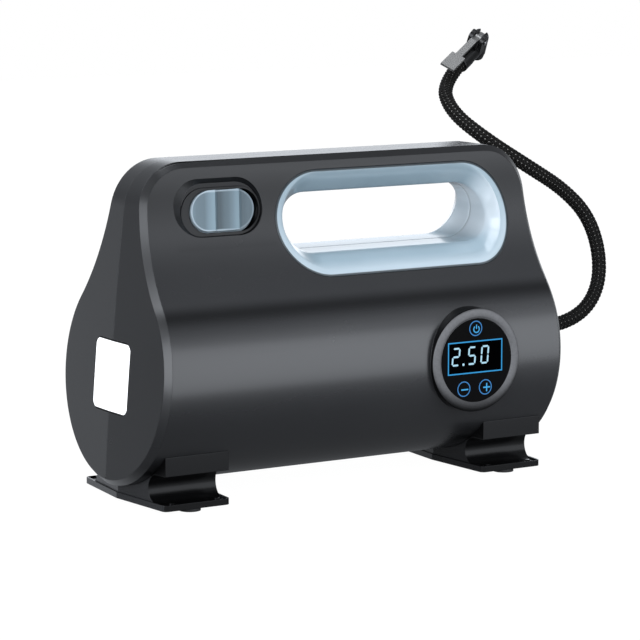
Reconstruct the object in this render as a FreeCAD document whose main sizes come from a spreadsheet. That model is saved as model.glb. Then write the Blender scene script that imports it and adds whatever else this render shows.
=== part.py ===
import FreeCAD, Part
import math
import os
import Sketcher

# Portable tire inflator. The barrel lies along X and the display faces -Y.
# The pads rest on z = 0, and the two housing halves meet in the plane y = 0.

SIZES = {
    # Barrel, grip and housing
    "axis_height": 68.6, "barrel_radius": 59.0, "waist_radius": 111.2, "waist_y": 127.6, "waist_z": 181.25,
    "top_height": 180.7, "corner_radius": 26.0, "edge_chamfer": 3.2, "wall": 2.6, "end_draft": 0.0278,
    "right_end": 129.0, "left_low": 129.0, "left_middle": 124.9, "left_top": 113.1,
    # Grip opening
    "lip_left": -36.5, "lip_right": 113.0, "lip_low": 116.9, "lip_high": 172.6, "lip_rim": 1.2,
    "lip_low_y": 36.9, "lip_high_y": 16.7,
    "throat_left": -28.2, "throat_right": 103.7, "throat_low": 128.15, "throat_high": 159.9,
    "throat_low_y": 21.0, "throat_high_y": 8.0, "liner_wall": 2.2, "liner_gap": 0.25, "liner_back": 6.0,
    # Feet
    "foot_length": 37.6, "foot_depth": 45.1, "foot_block_low": 20.1, "foot_waist": 28.9,
    "foot_plate_top": 4.0, "foot_plate_low": 1.7, "foot_shift": 2.0, "foot_flange": 0.9, "foot_rim": 1.2,
    "foot_point_out": 4.5, "foot_point_in": 3.3, "foot_corner": 3.0, "foot_x": 100.0, "foot_screw_y": 14.0,
    "nub_x": 13.5, "nub_y": 42.0, "nub_radius": 1.3, "pad_radius": 5.8, "pad_y": 39.5, "pad_shift": -1.5,
    # Display, vent and lamp
    "display_x": 66.4, "bezel_radius": 28.4, "bezel_crest": 25.6, "bezel_tube": 24.2, "lens_radius": 22.9,
    "bezel_front": 63.0, "skirt_front": 61.2, "skirt_radius": 27.5, "skirt_base": 28.6, "skirt_back": 50.0,
    "lamp_half": 19.5, "lamp_low": 48.9, "lamp_high": 86.7, "lamp_thick": 2.2, "lamp_corner": 5.5,
    "lamp_gap": 0.4,
    # Slide switch, with the outlines of its pocket, ring, slot and slider in its own frame
    "switch_x": -70.1, "switch_y": -19.4, "switch_z": 156.0, "switch_tilt": 13.5, "switch_lean": 0.114,
    "switch_travel": 3.4, "recess_depth": 2.4, "ring_drop": 1.9, "ring_thick": 1.6, "knob_proud": 1.5,
    "recess_left": -27.0, "recess_right": 26.8, "recess_low": -15.5, "recess_high": 15.5,
    "floor_left": -21.3, "floor_right": 26.5, "floor_low": -15.1, "floor_high": 13.4,
    "ring_left": -21.5, "ring_right": 26.4, "ring_low": -14.9, "ring_high": 11.0,
    "slot_left": -16.7, "slot_right": 25.6, "slot_low": -13.1, "slot_high": 9.7,
    "knob_left": -16.2, "knob_right": 21.4, "knob_low": -12.5, "knob_high": 9.3,
    "flange_left": -17.9, "flange_right": 23.1, "flange_low": -13.7, "flange_high": 10.3, "flange_thick": 1.5,
    "ridge_first": -2.8, "ridge_pitch": 14.5, "ridge_depth": 1.9,
    # Motor and gears
    "motor_x": -48.0, "drive_height": 63.6, "motor_radius": 18.0, "motor_front": -20.0, "motor_length": 56.0,
    "shaft_radius": 1.5, "gear_front": -30.0, "gear_thick": 8.0, "gear_module": 1.0,
    "pinion_teeth": 12.0, "crank_teeth": 54.0, "fan_radius": 18.0, "fan_front": 38.0, "fan_thick": 8.0,
    # Pump
    "crank_x": -15.0, "axle_radius": 3.0, "bush_radius": 5.0, "plate_front": -38.0, "plate_thick": 4.0,
    "bore_y": -7.0, "bore_radius": 11.1, "cylinder_radius": 14.0, "cylinder_left": 8.0, "cylinder_right": 32.0,
    "head_right": 42.0, "crank_throw": 7.0, "pin_radius": 2.5, "piston_face": 12.0,
    # Batteries and boards
    "cell_radius": 9.2, "cell_length": 64.8, "cell_left": 22.1, "cell_height": 26.6, "cell_pitch": 19.0,
    "board_height": 97.0,
    # Hose and chuck
    "hose_height": 71.6, "hose_radius": 4.2, "gland_end": 149.0, "chuck_radius": 5.0, "dome_radius": 5.2,
    "valve_radius": 3.95, "seal_radius": 4.4, "lever_width": 4.2, "paddle_width": 8.9, "paddle_length": 13.8,
    "lever_pin_radius": 1.0, "lever_pin_x": 12.5, "lever_pin_z": 7.6,
}

# Middle line of the hose, from the gland to the chuck
HOSE_POINTS = [
    (149.0, 0.0, 71.6),
    (165.0, 0.0, 71.6),
    (186.0, 1.0, 78.6),
    (202.0, 9.0, 92.6),
    (208.0, 18.0, 112.6),
    (203.0, 24.0, 132.6),
    (187.5, 27.5, 148.1),
    (161.0, 21.5, 161.6),
    (137.0, 33.0, 178.6),
    (129.0, 58.0, 193.6),
    (140.5, 84.0, 208.1),
    (162.5, 92.5, 221.1),
]
# The side of the chuck that the lever lies on
LEVER_SIDE = FreeCAD.Vector(-0.303, -0.671, 0.677)
# Middle of each screw that joins the housing halves, as x and height
HOUSING_SCREWS = [(-99.0, 165.6), (-104.0, 103.6), (-6.0, 108.6), (117.0, 110.0), (-98.0, 32.6), (106.0, 34.6)]
FRAME_SCREWS = [(-64.0, 16.0), (-64.0, -16.0), (34.0, 16.0), (34.0, -16.0)]
MOTOR_POSTS = [(-12.0, 0.0), (0.0, 13.5), (0.0, -13.5)]
# Curve of the grip opening from its lip to its throat, as shares of the way across and of the depth
FUNNEL = [(0.0, 0.0), (0.16, 0.105), (0.30, 0.21), (0.40, 0.30), (0.66, 0.58), (0.88, 0.83), (0.965, 0.94),
          (1.0, 1.06)]

X_AXIS = FreeCAD.Vector(1, 0, 0)
Y_AXIS = FreeCAD.Vector(0, 1, 0)
Z_AXIS = FreeCAD.Vector(0, 0, 1)
UPRIGHT = FreeCAD.Rotation()
ALONG_X = FreeCAD.Rotation(Y_AXIS, 90)
ALONG_Y = FreeCAD.Rotation(X_AXIS, -90)

os.makedirs("parts", exist_ok=True)
doc = FreeCAD.newDocument("tire_inflator")
sheet = doc.addObject("Spreadsheet::Sheet", "dims")
for row, (alias, number) in enumerate(SIZES.items(), start=1):
    sheet.set("A%d" % row, alias)
    sheet.set("B%d" % row, str(number))
    sheet.setAlias("B%d" % row, alias)
doc.recompute()
nodes = []


class Size:
    """A number together with the sheet expression that gives it."""

    def __init__(self, number, text):
        self.number = number
        self.text = text

    def join(self, other, sign, number):
        return Size(number, "(%s %s %s)" % (self.text, sign, sized(other).text))

    def __add__(self, other):
        return self.join(other, "+", self.number + float(other))

    def __sub__(self, other):
        return self.join(other, "-", self.number - float(other))

    def __mul__(self, other):
        return self.join(other, "*", self.number * float(other))

    def __truediv__(self, other):
        return self.join(other, "/", self.number / float(other))

    def __rsub__(self, other):
        return sized(other) - self

    def __neg__(self):
        return Size(-self.number, "(0 - %s)" % self.text)

    def __float__(self):
        return float(self.number)

    __radd__ = __add__
    __rmul__ = __mul__


def sized(value):
    """Any number as a Size."""
    if isinstance(value, Size):
        return value
    return Size(float(value), "(%r)" % float(value))


def dim(alias):
    """The Size of one cell of the sheet."""
    return Size(float(sheet.get(alias)), "dims." + alias)


def num(alias):
    """The plain number in one cell of the sheet."""
    return float(sheet.get(alias))


def vector(place):
    return FreeCAD.Vector(*[float(value) for value in place])


def bind(obj, name, value):
    """Set a size of an object and bind it to the sheet."""
    setattr(obj, name, float(value))
    if isinstance(value, Size):
        obj.setExpression(name, value.text)


def put(obj, place, turn=UPRIGHT):
    """Place an object, with its position bound to the sheet."""
    obj.Placement = FreeCAD.Placement(vector(place), turn)
    for letter, value in zip("xyz", place):
        if isinstance(value, Size):
            obj.setExpression("Placement.Base." + letter, value.text)
    return obj


def cylinder(radius, length, place, turn=UPRIGHT):
    obj = doc.addObject("Part::Cylinder", "rod")
    bind(obj, "Radius", radius)
    bind(obj, "Height", length)
    return put(obj, place, turn)


def cone(first, last, length, place, turn=UPRIGHT):
    obj = doc.addObject("Part::Cone", "cone")
    bind(obj, "Radius1", first)
    bind(obj, "Radius2", last)
    bind(obj, "Height", length)
    return put(obj, place, turn)


def ball(radius, place):
    obj = doc.addObject("Part::Sphere", "ball")
    bind(obj, "Radius", radius)
    return put(obj, place)


def block(low, high):
    """A box between two corners."""
    obj = doc.addObject("Part::Box", "block")
    for name, start, end in zip(("Length", "Width", "Height"), low, high):
        bind(obj, name, sized(end) - sized(start))
    return put(obj, low)


def fuse(*pieces):
    obj = doc.addObject("Part::MultiFuse", "fuse")
    obj.Shapes = list(pieces)
    return obj


def cut(base, *tools):
    obj = doc.addObject("Part::Cut", "cut")
    obj.Base = base
    obj.Tool = tools[0] if len(tools) == 1 else fuse(*tools)
    return obj


def solid(shape):
    """A document object that holds a shape worked out from the sheet."""
    obj = doc.addObject("Part::Feature", "solid")
    obj.Shape = shape
    return obj


def node(label, obj):
    """Register one sub-part under its own name."""
    obj.Label = label
    nodes.append(obj)
    return obj


def set_in(obj, where):
    """Move a finished object into another frame."""
    obj.Placement = where.multiply(obj.Placement)
    return obj


def origin_plane(body, role):
    for feature in body.Origin.OriginFeatures:
        if feature.Role == role:
            return feature
    return None


def outline(body, role, corners):
    """A sketch of one closed outline whose corners are bound to the sheet."""
    sketch = body.newObject("Sketcher::SketchObject", "outline")
    sketch.AttachmentSupport = (origin_plane(body, role), [""])
    sketch.MapMode = "FlatFace"
    points = [FreeCAD.Vector(float(x), float(y), 0) for x, y in corners]
    count = len(points)
    for index in range(count):
        sketch.addGeometry(Part.LineSegment(points[index], points[(index + 1) % count]))
    for index in range(count):
        sketch.addConstraint(Sketcher.Constraint("Coincident", index, 2, (index + 1) % count, 1))
    for index, corner in enumerate(corners):
        for kind, axis, value in zip(("DistanceX", "DistanceY"), (-2, -1), corner):
            if abs(float(value)) < 1e-9:
                sketch.addConstraint(Sketcher.Constraint("PointOnObject", index, 1, axis))
                continue
            number = sketch.addConstraint(Sketcher.Constraint(kind, -1, 1, index, 1, float(value)))
            if isinstance(value, Size):
                sketch.setExpression("Constraints[%d]" % number, value.text)
    return sketch


def turned(corners, place=(0, 0, 0), turn=UPRIGHT):
    """A lathe-turned body: its corners are pairs of radius and height along its own Z."""
    body = doc.addObject("PartDesign::Body", "turned")
    sketch = outline(body, "XZ_Plane", corners)
    spin = body.newObject("PartDesign::Revolution", "spin")
    spin.Profile = sketch
    spin.ReferenceAxis = (sketch, ["V_Axis"])
    spin.Angle = 360
    sketch.Visibility = False
    return put(body, place, turn)


def padded(corners, height, place=(0, 0, 0), turn=UPRIGHT):
    """A body raised from one outline in its own XY plane."""
    body = doc.addObject("PartDesign::Body", "padded")
    sketch = outline(body, "XY_Plane", corners)
    pad = body.newObject("PartDesign::Pad", "pad")
    pad.Profile = sketch
    bind(pad, "Length", height)
    sketch.Visibility = False
    return put(body, place, turn)


def toothed(teeth, thick, bore, place, turn):
    """A spur gear with straight-flanked teeth, thinned for backlash."""
    module = dim("gear_module")
    pitch = module * teeth / 2
    root = pitch - module * 1.25
    tip = pitch + module * 0.9
    body = turned([(bore, 0), (root, 0), (root, thick), (bore, thick)], place, turn)
    sketch = outline(body, "XY_Plane", [
        (root - 0.6, -(module * 0.85)), (root, -(module * 0.85)), (pitch, -(module * 0.58)),
        (tip, -(module * 0.3)), (tip, module * 0.3), (pitch, module * 0.58), (root, module * 0.85),
        (root - 0.6, module * 0.85),
    ])
    tooth = body.newObject("PartDesign::Pad", "tooth")
    tooth.Profile = sketch
    bind(tooth, "Length", thick)
    doc.recompute()
    ring = body.newObject("PartDesign::PolarPattern", "ring")
    ring.Originals = [tooth]
    ring.Axis = (origin_plane(body, "Z_Axis"), [""])
    ring.Angle = 360
    ring.Occurrences = int(float(teeth))
    body.Tip = ring
    return body


def stadium(left, right, low, high):
    """A closed wire of two straight sides and two half rounds, in its own XY plane."""
    radius = (high - low) / 2.0
    middle = (high + low) / 2.0
    first = left + radius
    last = right - radius
    edges = [
        Part.LineSegment(FreeCAD.Vector(first, low, 0), FreeCAD.Vector(last, low, 0)),
        Part.Arc(FreeCAD.Vector(last, low, 0), FreeCAD.Vector(right, middle, 0), FreeCAD.Vector(last, high, 0)),
        Part.LineSegment(FreeCAD.Vector(last, high, 0), FreeCAD.Vector(first, high, 0)),
        Part.Arc(FreeCAD.Vector(first, high, 0), FreeCAD.Vector(left, middle, 0), FreeCAD.Vector(first, low, 0)),
    ]
    return Part.Wire([edge.toShape() for edge in edges])


def standing(wire, y):
    """A wire from its own XY plane, stood up in the plane at one y."""
    stood = wire.copy()
    stood.Placement = FreeCAD.Placement(FreeCAD.Vector(0, y, 0), FreeCAD.Rotation(X_AXIS, 90))
    return stood


def prism(wire, near, far):
    """The solid of an upright wire between two values of y."""
    return Part.Face(standing(wire, near)).extrude(FreeCAD.Vector(0, far - near, 0))


def half_form(inset):
    """The front half of the housing's outer form, drawn in on every side."""
    barrel = num("barrel_radius") - inset
    waist = num("waist_radius") + inset
    axis = num("axis_height")
    span_y = num("waist_y")
    span_z = num("waist_z") - axis
    reach = math.hypot(span_y, span_z)
    joint_y = -span_y * barrel / reach
    joint_z = axis + span_z * barrel / reach
    apex = waist - span_y
    lean = math.atan2(-span_z, span_y) / 2.0
    belly = FreeCAD.Vector(0, -barrel * math.cos(0.1), axis - barrel * math.sin(0.1))
    hollow = FreeCAD.Vector(0, -span_y + waist * math.cos(lean), num("waist_z") + waist * math.sin(lean))
    joint = FreeCAD.Vector(0, joint_y, joint_z)
    crown = FreeCAD.Vector(0, apex, num("waist_z"))
    above = num("waist_z") + 10.0
    edges = [
        Part.Arc(FreeCAD.Vector(0, 0, axis - barrel), belly, joint).toShape(),
        Part.Arc(joint, hollow, crown).toShape(),
        Part.makeLine(crown, FreeCAD.Vector(0, apex, above)),
        Part.makeLine(FreeCAD.Vector(0, apex, above), FreeCAD.Vector(0, 0, above)),
        Part.makeLine(FreeCAD.Vector(0, 0, above), FreeCAD.Vector(0, 0, axis - barrel)),
    ]
    length = 2 * num("right_end") + 20.0
    section = Part.Face(Part.Wire(edges))
    section.translate(FreeCAD.Vector(-length / 2.0, 0, 0))
    return section.extrude(FreeCAD.Vector(length, 0, 0)).common(side_form(inset))


def side_form(inset):
    """The housing seen from the front, with its ends drafted from the joint plane."""
    depth = 62.0
    low = num("axis_height") - num("barrel_radius")
    middle = num("axis_height")
    high = num("top_height") - inset

    def side_wire(y):
        pull = inset + num("end_draft") * abs(y)
        left_low = FreeCAD.Vector(-num("left_low") + pull, y, low)
        left_middle = FreeCAD.Vector(-num("left_middle") + pull, y, middle)
        left_top = FreeCAD.Vector(-num("left_top") + pull, y, num("top_height"))
        bend = Part.Arc(left_low, left_middle, left_top)
        across = Part.makeLine(FreeCAD.Vector(-200, y, high), FreeCAD.Vector(200, y, high))
        meet = bend.toShape().common(across)
        top_left = meet.Vertexes[0].Point if meet.Vertexes else left_top
        right = num("right_end") - pull
        edges = [
            Part.Arc(left_low, left_middle, top_left).toShape(),
            Part.makeLine(top_left, FreeCAD.Vector(right, y, high)),
            Part.makeLine(FreeCAD.Vector(right, y, high), FreeCAD.Vector(right, y, low)),
            Part.makeLine(FreeCAD.Vector(right, y, low), left_low),
        ]
        return Part.Wire(edges)

    form = Part.makeLoft([side_wire(0.0), side_wire(-depth)], True, True)
    corners = []
    for edge in form.Edges:
        middle_point = edge.CenterOfMass
        crosswise = edge.BoundBox.YLength > depth - 1
        if crosswise and middle_point.z > high - 1:
            corners.append(edge)
    return form.makeFillet(num("corner_radius") - inset, corners)


def outer_half():
    """The front half form with its long edges chamfered."""
    form = half_form(0.0)
    rims = []
    for edge in form.Edges:
        middle_point = edge.CenterOfMass
        lengthwise = edge.BoundBox.XLength > 150 and middle_point.z < num("top_height") - 10
        if middle_point.y < -1 and not lengthwise:
            rims.append(edge)
    return form.makeChamfer(num("edge_chamfer"), rims)


def mirrored(shape):
    return shape.mirror(FreeCAD.Vector(0, 0, 0), Y_AXIS)


def rod(radius, start, end):
    """A plain round solid between two points."""
    return Part.makeCylinder(radius, (end - start).Length, start, end - start)


def sloped_stadium(left, right, low, high):
    """A stadium in the plane that runs along X through a low and a high point."""
    slope = high - low
    wire = stadium(left, right, -slope.Length / 2, slope.Length / 2)
    turn = FreeCAD.Rotation(X_AXIS, math.degrees(math.atan2(slope.z, slope.y)))
    wire.Placement = FreeCAD.Placement((low + high) / 2, turn)
    return wire


def grip_void():
    """The air of the grip opening in front of the joint plane: a bowl round a straight throat."""
    rim = num("lip_rim")
    ends = {
        "left": (num("lip_left") + rim, num("throat_left")), "right": (num("lip_right") - rim, num("throat_right")),
        "low": (num("lip_low") + rim, num("throat_low")), "high": (num("lip_high") - rim, num("throat_high")),
        "low_y": (-num("lip_low_y"), -num("throat_low_y")), "high_y": (-num("lip_high_y"), -num("throat_high_y")),
    }

    def part_way(name, share):
        start, end = ends[name]
        return start + (end - start) * share

    sections = []
    for across, along in FUNNEL:
        low = FreeCAD.Vector(0, part_way("low_y", along), part_way("low", across))
        high = FreeCAD.Vector(0, part_way("high_y", along), part_way("high", across))
        sections.append(sloped_stadium(part_way("left", across), part_way("right", across), low, high))
    bowl = Part.makeLoft(sections, True, False)
    outward = Part.Face(sections[0]).normalAt(0, 0)
    if outward.y > 0:
        outward = outward * -1.0
    mouth = Part.Face(sections[0]).extrude(outward * 14.0)
    throat = Part.Face(sections[-1]).extrude(FreeCAD.Vector(0, 40.0, 0))
    return bowl.fuse([mouth, throat])


def lip_prism(gap):
    """The opening cut through the housing for the grip liners."""
    return prism(stadium(num("lip_left") - gap, num("lip_right") + gap, num("lip_low") - gap,
                         num("lip_high") + gap), 1.0, -70.0)


def grip_liner(form):
    """One half of the liner, hollowed from the joint plane."""
    wall = num("liner_wall")
    back = num("liner_back")
    body = form.common(lip_prism(0.0)).cut(grip_void())
    room = prism(stadium(num("lip_left") + wall, num("lip_right") - wall, num("lip_low") + wall,
                         num("lip_high") - wall), 1.0, -back)
    keep = prism(stadium(num("throat_left") - wall, num("throat_right") + wall, num("throat_low") - wall,
                         num("throat_high") + wall), 2.0, -back - 1.0)
    return body.cut(room.cut(keep))


def skirt(x, height):
    """The flare of the housing round the display and round the vent."""
    back = num("skirt_back")
    front = num("skirt_front")
    return Part.makeCone(num("skirt_base"), num("skirt_radius"), front - back, FreeCAD.Vector(x, -back, height),
                         FreeCAD.Vector(0, -1, 0))


def switch_frame():
    """The frame of the slide switch: X along the housing, Y up its slope, Z outward."""
    tilt = 90.0 - num("switch_tilt")
    place = FreeCAD.Vector(num("switch_x"), num("switch_y"), num("switch_z"))
    return FreeCAD.Placement(place, FreeCAD.Rotation(X_AXIS, tilt))


def in_switch(shape):
    moved = shape.copy()
    moved.Placement = switch_frame()
    return moved


def switch_outline(name, height, grow=0.0, further=0.0):
    """One outline of the switch at a height over its plane, grown all round and drawn out to the right."""
    left, right, low, high = [num("%s_%s" % (name, side)) for side in ("left", "right", "low", "high")]
    wire = stadium(left - grow, right + grow + further, low - grow, high + grow)
    wire.translate(FreeCAD.Vector(0, 0, height))
    return wire


def leaned(shape):
    """A shape of the switch leaned to the right, so that its ends run along the housing's left end."""
    lean = num("switch_lean")
    middle = (num("slot_low") + num("slot_high")) / 2.0
    return shape.transformGeometry(FreeCAD.Matrix(1, lean, 0, -lean * middle, 0, 1, 0, 0, 0, 0, 1, 0, 0, 0, 0, 1))


def switch_solid(name, near, far, grow=0.0, further=0.0):
    """The leaned solid of one outline of the switch between two heights over its plane."""
    face = Part.Face(switch_outline(name, near, grow, further))
    return leaned(face.extrude(FreeCAD.Vector(0, 0, far - near)))


def switch_tools():
    """What the front shell leaves open for the switch: a dished pocket, the ring's seat and the slider's room."""
    rim = switch_outline("recess", 0.0)
    floor = switch_outline("floor", -num("recess_depth"))
    above = Part.Face(rim).extrude(FreeCAD.Vector(0, 0, 12.0))
    back = -num("ring_drop") - num("ring_thick")
    seat = switch_solid("ring", back - 0.05, 6.0, 0.15)
    room = switch_solid("flange", -14.0, back, 0.4, num("switch_travel"))
    return [in_switch(shape) for shape in (Part.makeLoft([floor, rim], True, True), above, seat, room)]


def lamp_window(gap):
    """The round-cornered window of the lamp, through the left end along X."""
    wide = num("lamp_half") + gap
    low = num("lamp_low") - gap
    window = Part.makeBox(20, 2 * wide, num("lamp_high") + gap - low, FreeCAD.Vector(-135, -wide, low))
    corners = [edge for edge in window.Edges if edge.BoundBox.XLength > 19]
    return window.makeFillet(num("lamp_corner") + gap, corners)


def housing_half(form, hollow, front):
    """One housing half with its openings, bosses and seats."""
    shell = form.cut(hollow)
    hole_x = num("display_x") if front else num("motor_x")
    hole_z = num("axis_height") if front else num("drive_height")
    inside = []
    for x, z in HOUSING_SCREWS:
        inside.append(rod(3.8, FreeCAD.Vector(x, -60, z), FreeCAD.Vector(x, 0, z)))
    foot_y = -num("foot_screw_y")
    for x in (num("foot_x"), -num("foot_x")):
        inside.append(rod(4.0, FreeCAD.Vector(x + 2, foot_y, 10), FreeCAD.Vector(x + 2, foot_y, 22)))
    for x in (30.0, 88.0):
        inside.append(Part.makeBox(3, 32, 5, FreeCAD.Vector(x, -54, num("board_height") - 5.1)))
    if front:
        for x, z in FRAME_SCREWS:
            height = num("drive_height") + z
            end = FreeCAD.Vector(x, num("plate_front") - 0.05, height)
            inside.append(rod(3.4, FreeCAD.Vector(x, -60, height), end))
        boss = Part.Face(switch_outline("recess", -5.4, 1.6)).extrude(FreeCAD.Vector(0, 0, 5.4))
        inside.append(in_switch(boss))
    ribs = inside[0].fuse(inside[1:]).common(form)
    shell = shell.fuse([ribs, skirt(hole_x, hole_z).cut(hollow)])
    middle = FreeCAD.Vector(hole_x, -70, hole_z)
    hose = num("hose_height")
    tools = [rod(num("bezel_tube") + 0.3, middle, FreeCAD.Vector(hole_x, -40, hole_z)), lip_prism(num("liner_gap"))]
    tools.append(rod(6.6, FreeCAD.Vector(110, 0, hose), FreeCAD.Vector(140, 0, hose)))
    tools.append(rod(9.3, FreeCAD.Vector(120, 0, hose), FreeCAD.Vector(123.3, 0, hose)))
    tools.append(Part.makeBox(10, 5.2, 4.2, FreeCAD.Vector(120, -5.2, 41.5)))
    tools.append(lamp_window(num("lamp_gap")))
    for x, z in HOUSING_SCREWS:
        if front:
            tools.append(rod(1.3, FreeCAD.Vector(x, -9, z), FreeCAD.Vector(x, 1, z)))
        else:
            tools.append(rod(1.7, FreeCAD.Vector(x, -12, z), FreeCAD.Vector(x, 1, z)))
            tools.append(rod(3.3, FreeCAD.Vector(x, -70, z), FreeCAD.Vector(x, -10, z)))
    for x in (num("foot_x"), -num("foot_x")):
        tools.append(rod(1.3, FreeCAD.Vector(x + 2, foot_y, 5), FreeCAD.Vector(x + 2, foot_y, 21)))
    if front:
        for x, z in FRAME_SCREWS:
            height = num("drive_height") + z
            tools.append(rod(1.3, FreeCAD.Vector(x, -47, height), FreeCAD.Vector(x, -30, height)))
        tools.extend(switch_tools())
    return shell.cut(tools)


def make_housing():
    form = outer_half()
    hollow = half_form(num("wall"))
    liner = grip_liner(form)
    front = housing_half(form, hollow, True)
    rear = housing_half(form, hollow, False)
    node("front_shell", solid(front))
    node("rear_shell", solid(mirrored(rear)))
    node("front_grip_liner", solid(liner))
    node("rear_grip_liner", solid(mirrored(liner)))
    both = form.fuse(mirrored(form)).removeSplitter()
    core = both.copy()
    core.translate(FreeCAD.Vector(num("lamp_thick"), 0, 0))
    node("lamp_lens", solid(both.common(lamp_window(0.0)).cut(core)))


def make_housing_screws():
    """Pan-head screws let into the rear half, all along Y."""
    screws = []
    for x, z in HOUSING_SCREWS:
        head = cylinder(3.0, 2.2, (x, 10.0, z), ALONG_Y)
        shank = cylinder(1.25, 18.5, (x, -8.5, z), ALONG_Y)
        screws.append(fuse(shank, head))
    node("housing_screws", fuse(*screws))


def foot_plan(side, low, high, grow, rounding):
    """A prism over one foot's plan, grown all round. Its sides come to shallow points at y = 0."""
    middle = side * num("foot_x") + num("foot_shift")
    half = num("foot_length") / 2.0 + grow
    wide = num("foot_depth") + 0.4 + min(grow, 0.0)
    outer = middle + side * (half + num("foot_point_out"))
    inner = middle - side * (half + num("foot_point_in"))
    near = middle - side * half
    far = middle + side * half
    corners = [(near, -wide), (far, -wide), (outer, 0), (far, wide), (near, wide), (inner, 0), (near, -wide)]
    plan = Part.Face(Part.makePolygon([FreeCAD.Vector(x, y, low) for x, y in corners]))
    body = plan.extrude(FreeCAD.Vector(0, 0, high - low))
    if rounding:
        upright = [edge for edge in body.Edges
                   if edge.BoundBox.ZLength > 0.5 and abs(edge.CenterOfMass.y) > wide - 1]
        body = body.makeFillet(rounding, upright)
    return body


def make_feet():
    """Two scooped feet under the barrel, with their pads and screws."""
    axis = num("axis_height")
    wide = num("foot_depth")
    block_low = num("foot_block_low")
    waist = num("foot_waist")
    plate_top = num("foot_plate_top")
    plate_low = num("foot_plate_low")
    saddle = num("barrel_radius") + 0.1
    saddle_z = axis - math.sqrt(saddle ** 2 - wide ** 2)
    scoop = wide - 8.0
    middle = (block_low + plate_top) / 2.0

    def point(y, z):
        return FreeCAD.Vector(0, y, z)

    edges = [
        Part.makeLine(point(-wide, saddle_z), point(-wide, block_low)),
        Part.makeLine(point(-wide, block_low), point(-scoop, block_low)),
        Part.Arc(point(-scoop, block_low), point(-waist, middle), point(-scoop, plate_top)).toShape(),
        Part.makeLine(point(-scoop, plate_top), point(-wide - 0.4, plate_top)),
        Part.makeLine(point(-wide - 0.4, plate_top), point(-wide - 0.4, plate_low)),
        Part.makeLine(point(-wide - 0.4, plate_low), point(wide + 0.4, plate_low)),
        Part.makeLine(point(wide + 0.4, plate_low), point(wide + 0.4, plate_top)),
        Part.makeLine(point(wide + 0.4, plate_top), point(scoop, plate_top)),
        Part.Arc(point(scoop, plate_top), point(waist, middle), point(scoop, block_low)).toShape(),
        Part.makeLine(point(scoop, block_low), point(wide, block_low)),
        Part.makeLine(point(wide, block_low), point(wide, saddle_z)),
        Part.Arc(point(wide, saddle_z), point(0, axis - saddle), point(-wide, saddle_z)).toShape(),
    ]
    profile = Part.Face(Part.Wire(edges))
    flange = num("foot_flange")
    rim = num("foot_rim")
    corner = num("foot_corner")
    flange_top = plate_top + 1.0
    reach = num("foot_length") / 2.0 + num("foot_point_out") + 2.0
    pads = []
    screws = []
    for label, side in (("left_foot", -1.0), ("right_foot", 1.0)):
        x = side * num("foot_x") + num("foot_shift")
        blank = profile.copy()
        blank.translate(FreeCAD.Vector(x - reach, 0, 0))
        plate = foot_plan(side, 0.0, flange_top, flange, corner)
        upper = foot_plan(side, flange_top, axis, 0.0, 0.0)
        foot = blank.extrude(FreeCAD.Vector(2.0 * reach, 0, 0)).common(plate.fuse(upper))
        edge = foot_plan(side, plate_top - 0.5, flange_top, flange, corner)
        edge = edge.cut(foot_plan(side, plate_top - 1.0, flange_top + 1.0, flange - rim, corner - rim))
        raised = [edge]
        for across in (-num("nub_x"), num("nub_x")):
            for y in (-num("nub_y"), num("nub_y")):
                base = FreeCAD.Vector(x + across, y, plate_top - 0.5)
                raised.append(rod(num("nub_radius"), base, base + FreeCAD.Vector(0, 0, 1.8)))
        foot = foot.fuse(raised)
        for way in (-1.0, 1.0):
            y = way * num("foot_screw_y")
            foot = foot.cut(rod(1.7, FreeCAD.Vector(x, y, 0), FreeCAD.Vector(x, y, 20)))
            foot = foot.cut(rod(3.4, FreeCAD.Vector(x, y, 0), FreeCAD.Vector(x, y, 5)))
            screws.append(fuse(cylinder(3.0, 2.2, (x, y, 2.8)), cylinder(1.25, 14.5, (x, y, 5.0))))
            pad = (x + dim("pad_shift"), way * dim("pad_y"), 0)
            pads.append(cylinder(dim("pad_radius"), dim("foot_plate_low"), pad))
        node(label, solid(foot.removeSplitter()))
    node("foot_pads", fuse(*pads))
    node("foot_screws", fuse(*screws))


def make_display():
    """Bezel, cover glass and board of the round display, all turned about Y."""
    place = (dim("display_x"), 0, dim("axis_height"))
    forward = FreeCAD.Rotation(X_AXIS, 90)
    outer = dim("bezel_radius")
    tube = dim("bezel_tube")
    seat = dim("lens_radius") + 0.1
    crest = dim("bezel_crest")
    front = dim("bezel_front")
    back = dim("skirt_front")
    bore = seat - 1.6
    dome = []
    for step in range(8):
        angle = math.radians(20.0 * step)
        dome.append((crest + (outer - crest) * math.cos(angle), back + (front - back) * math.sin(angle)))
    stem = [(seat, back + 0.9), (seat, back - 0.6), (bore, back - 0.6), (bore, 52), (tube, 52), (tube, back)]
    node("display_bezel", turned(stem + dome, place, forward))
    node("display_lens", turned([
        (0, back - 0.55), (dim("lens_radius"), back - 0.55), (dim("lens_radius"), back + 1.0), (0, back + 1.0),
    ], place, forward))
    board = cylinder(bore - 0.3, 1.6, (dim("display_x"), -54, dim("axis_height")), forward)
    chip = block((50.4, -59.6, 60.6), (82.4, -55.6, 80.6))
    node("display_board", fuse(board, chip))


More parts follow.
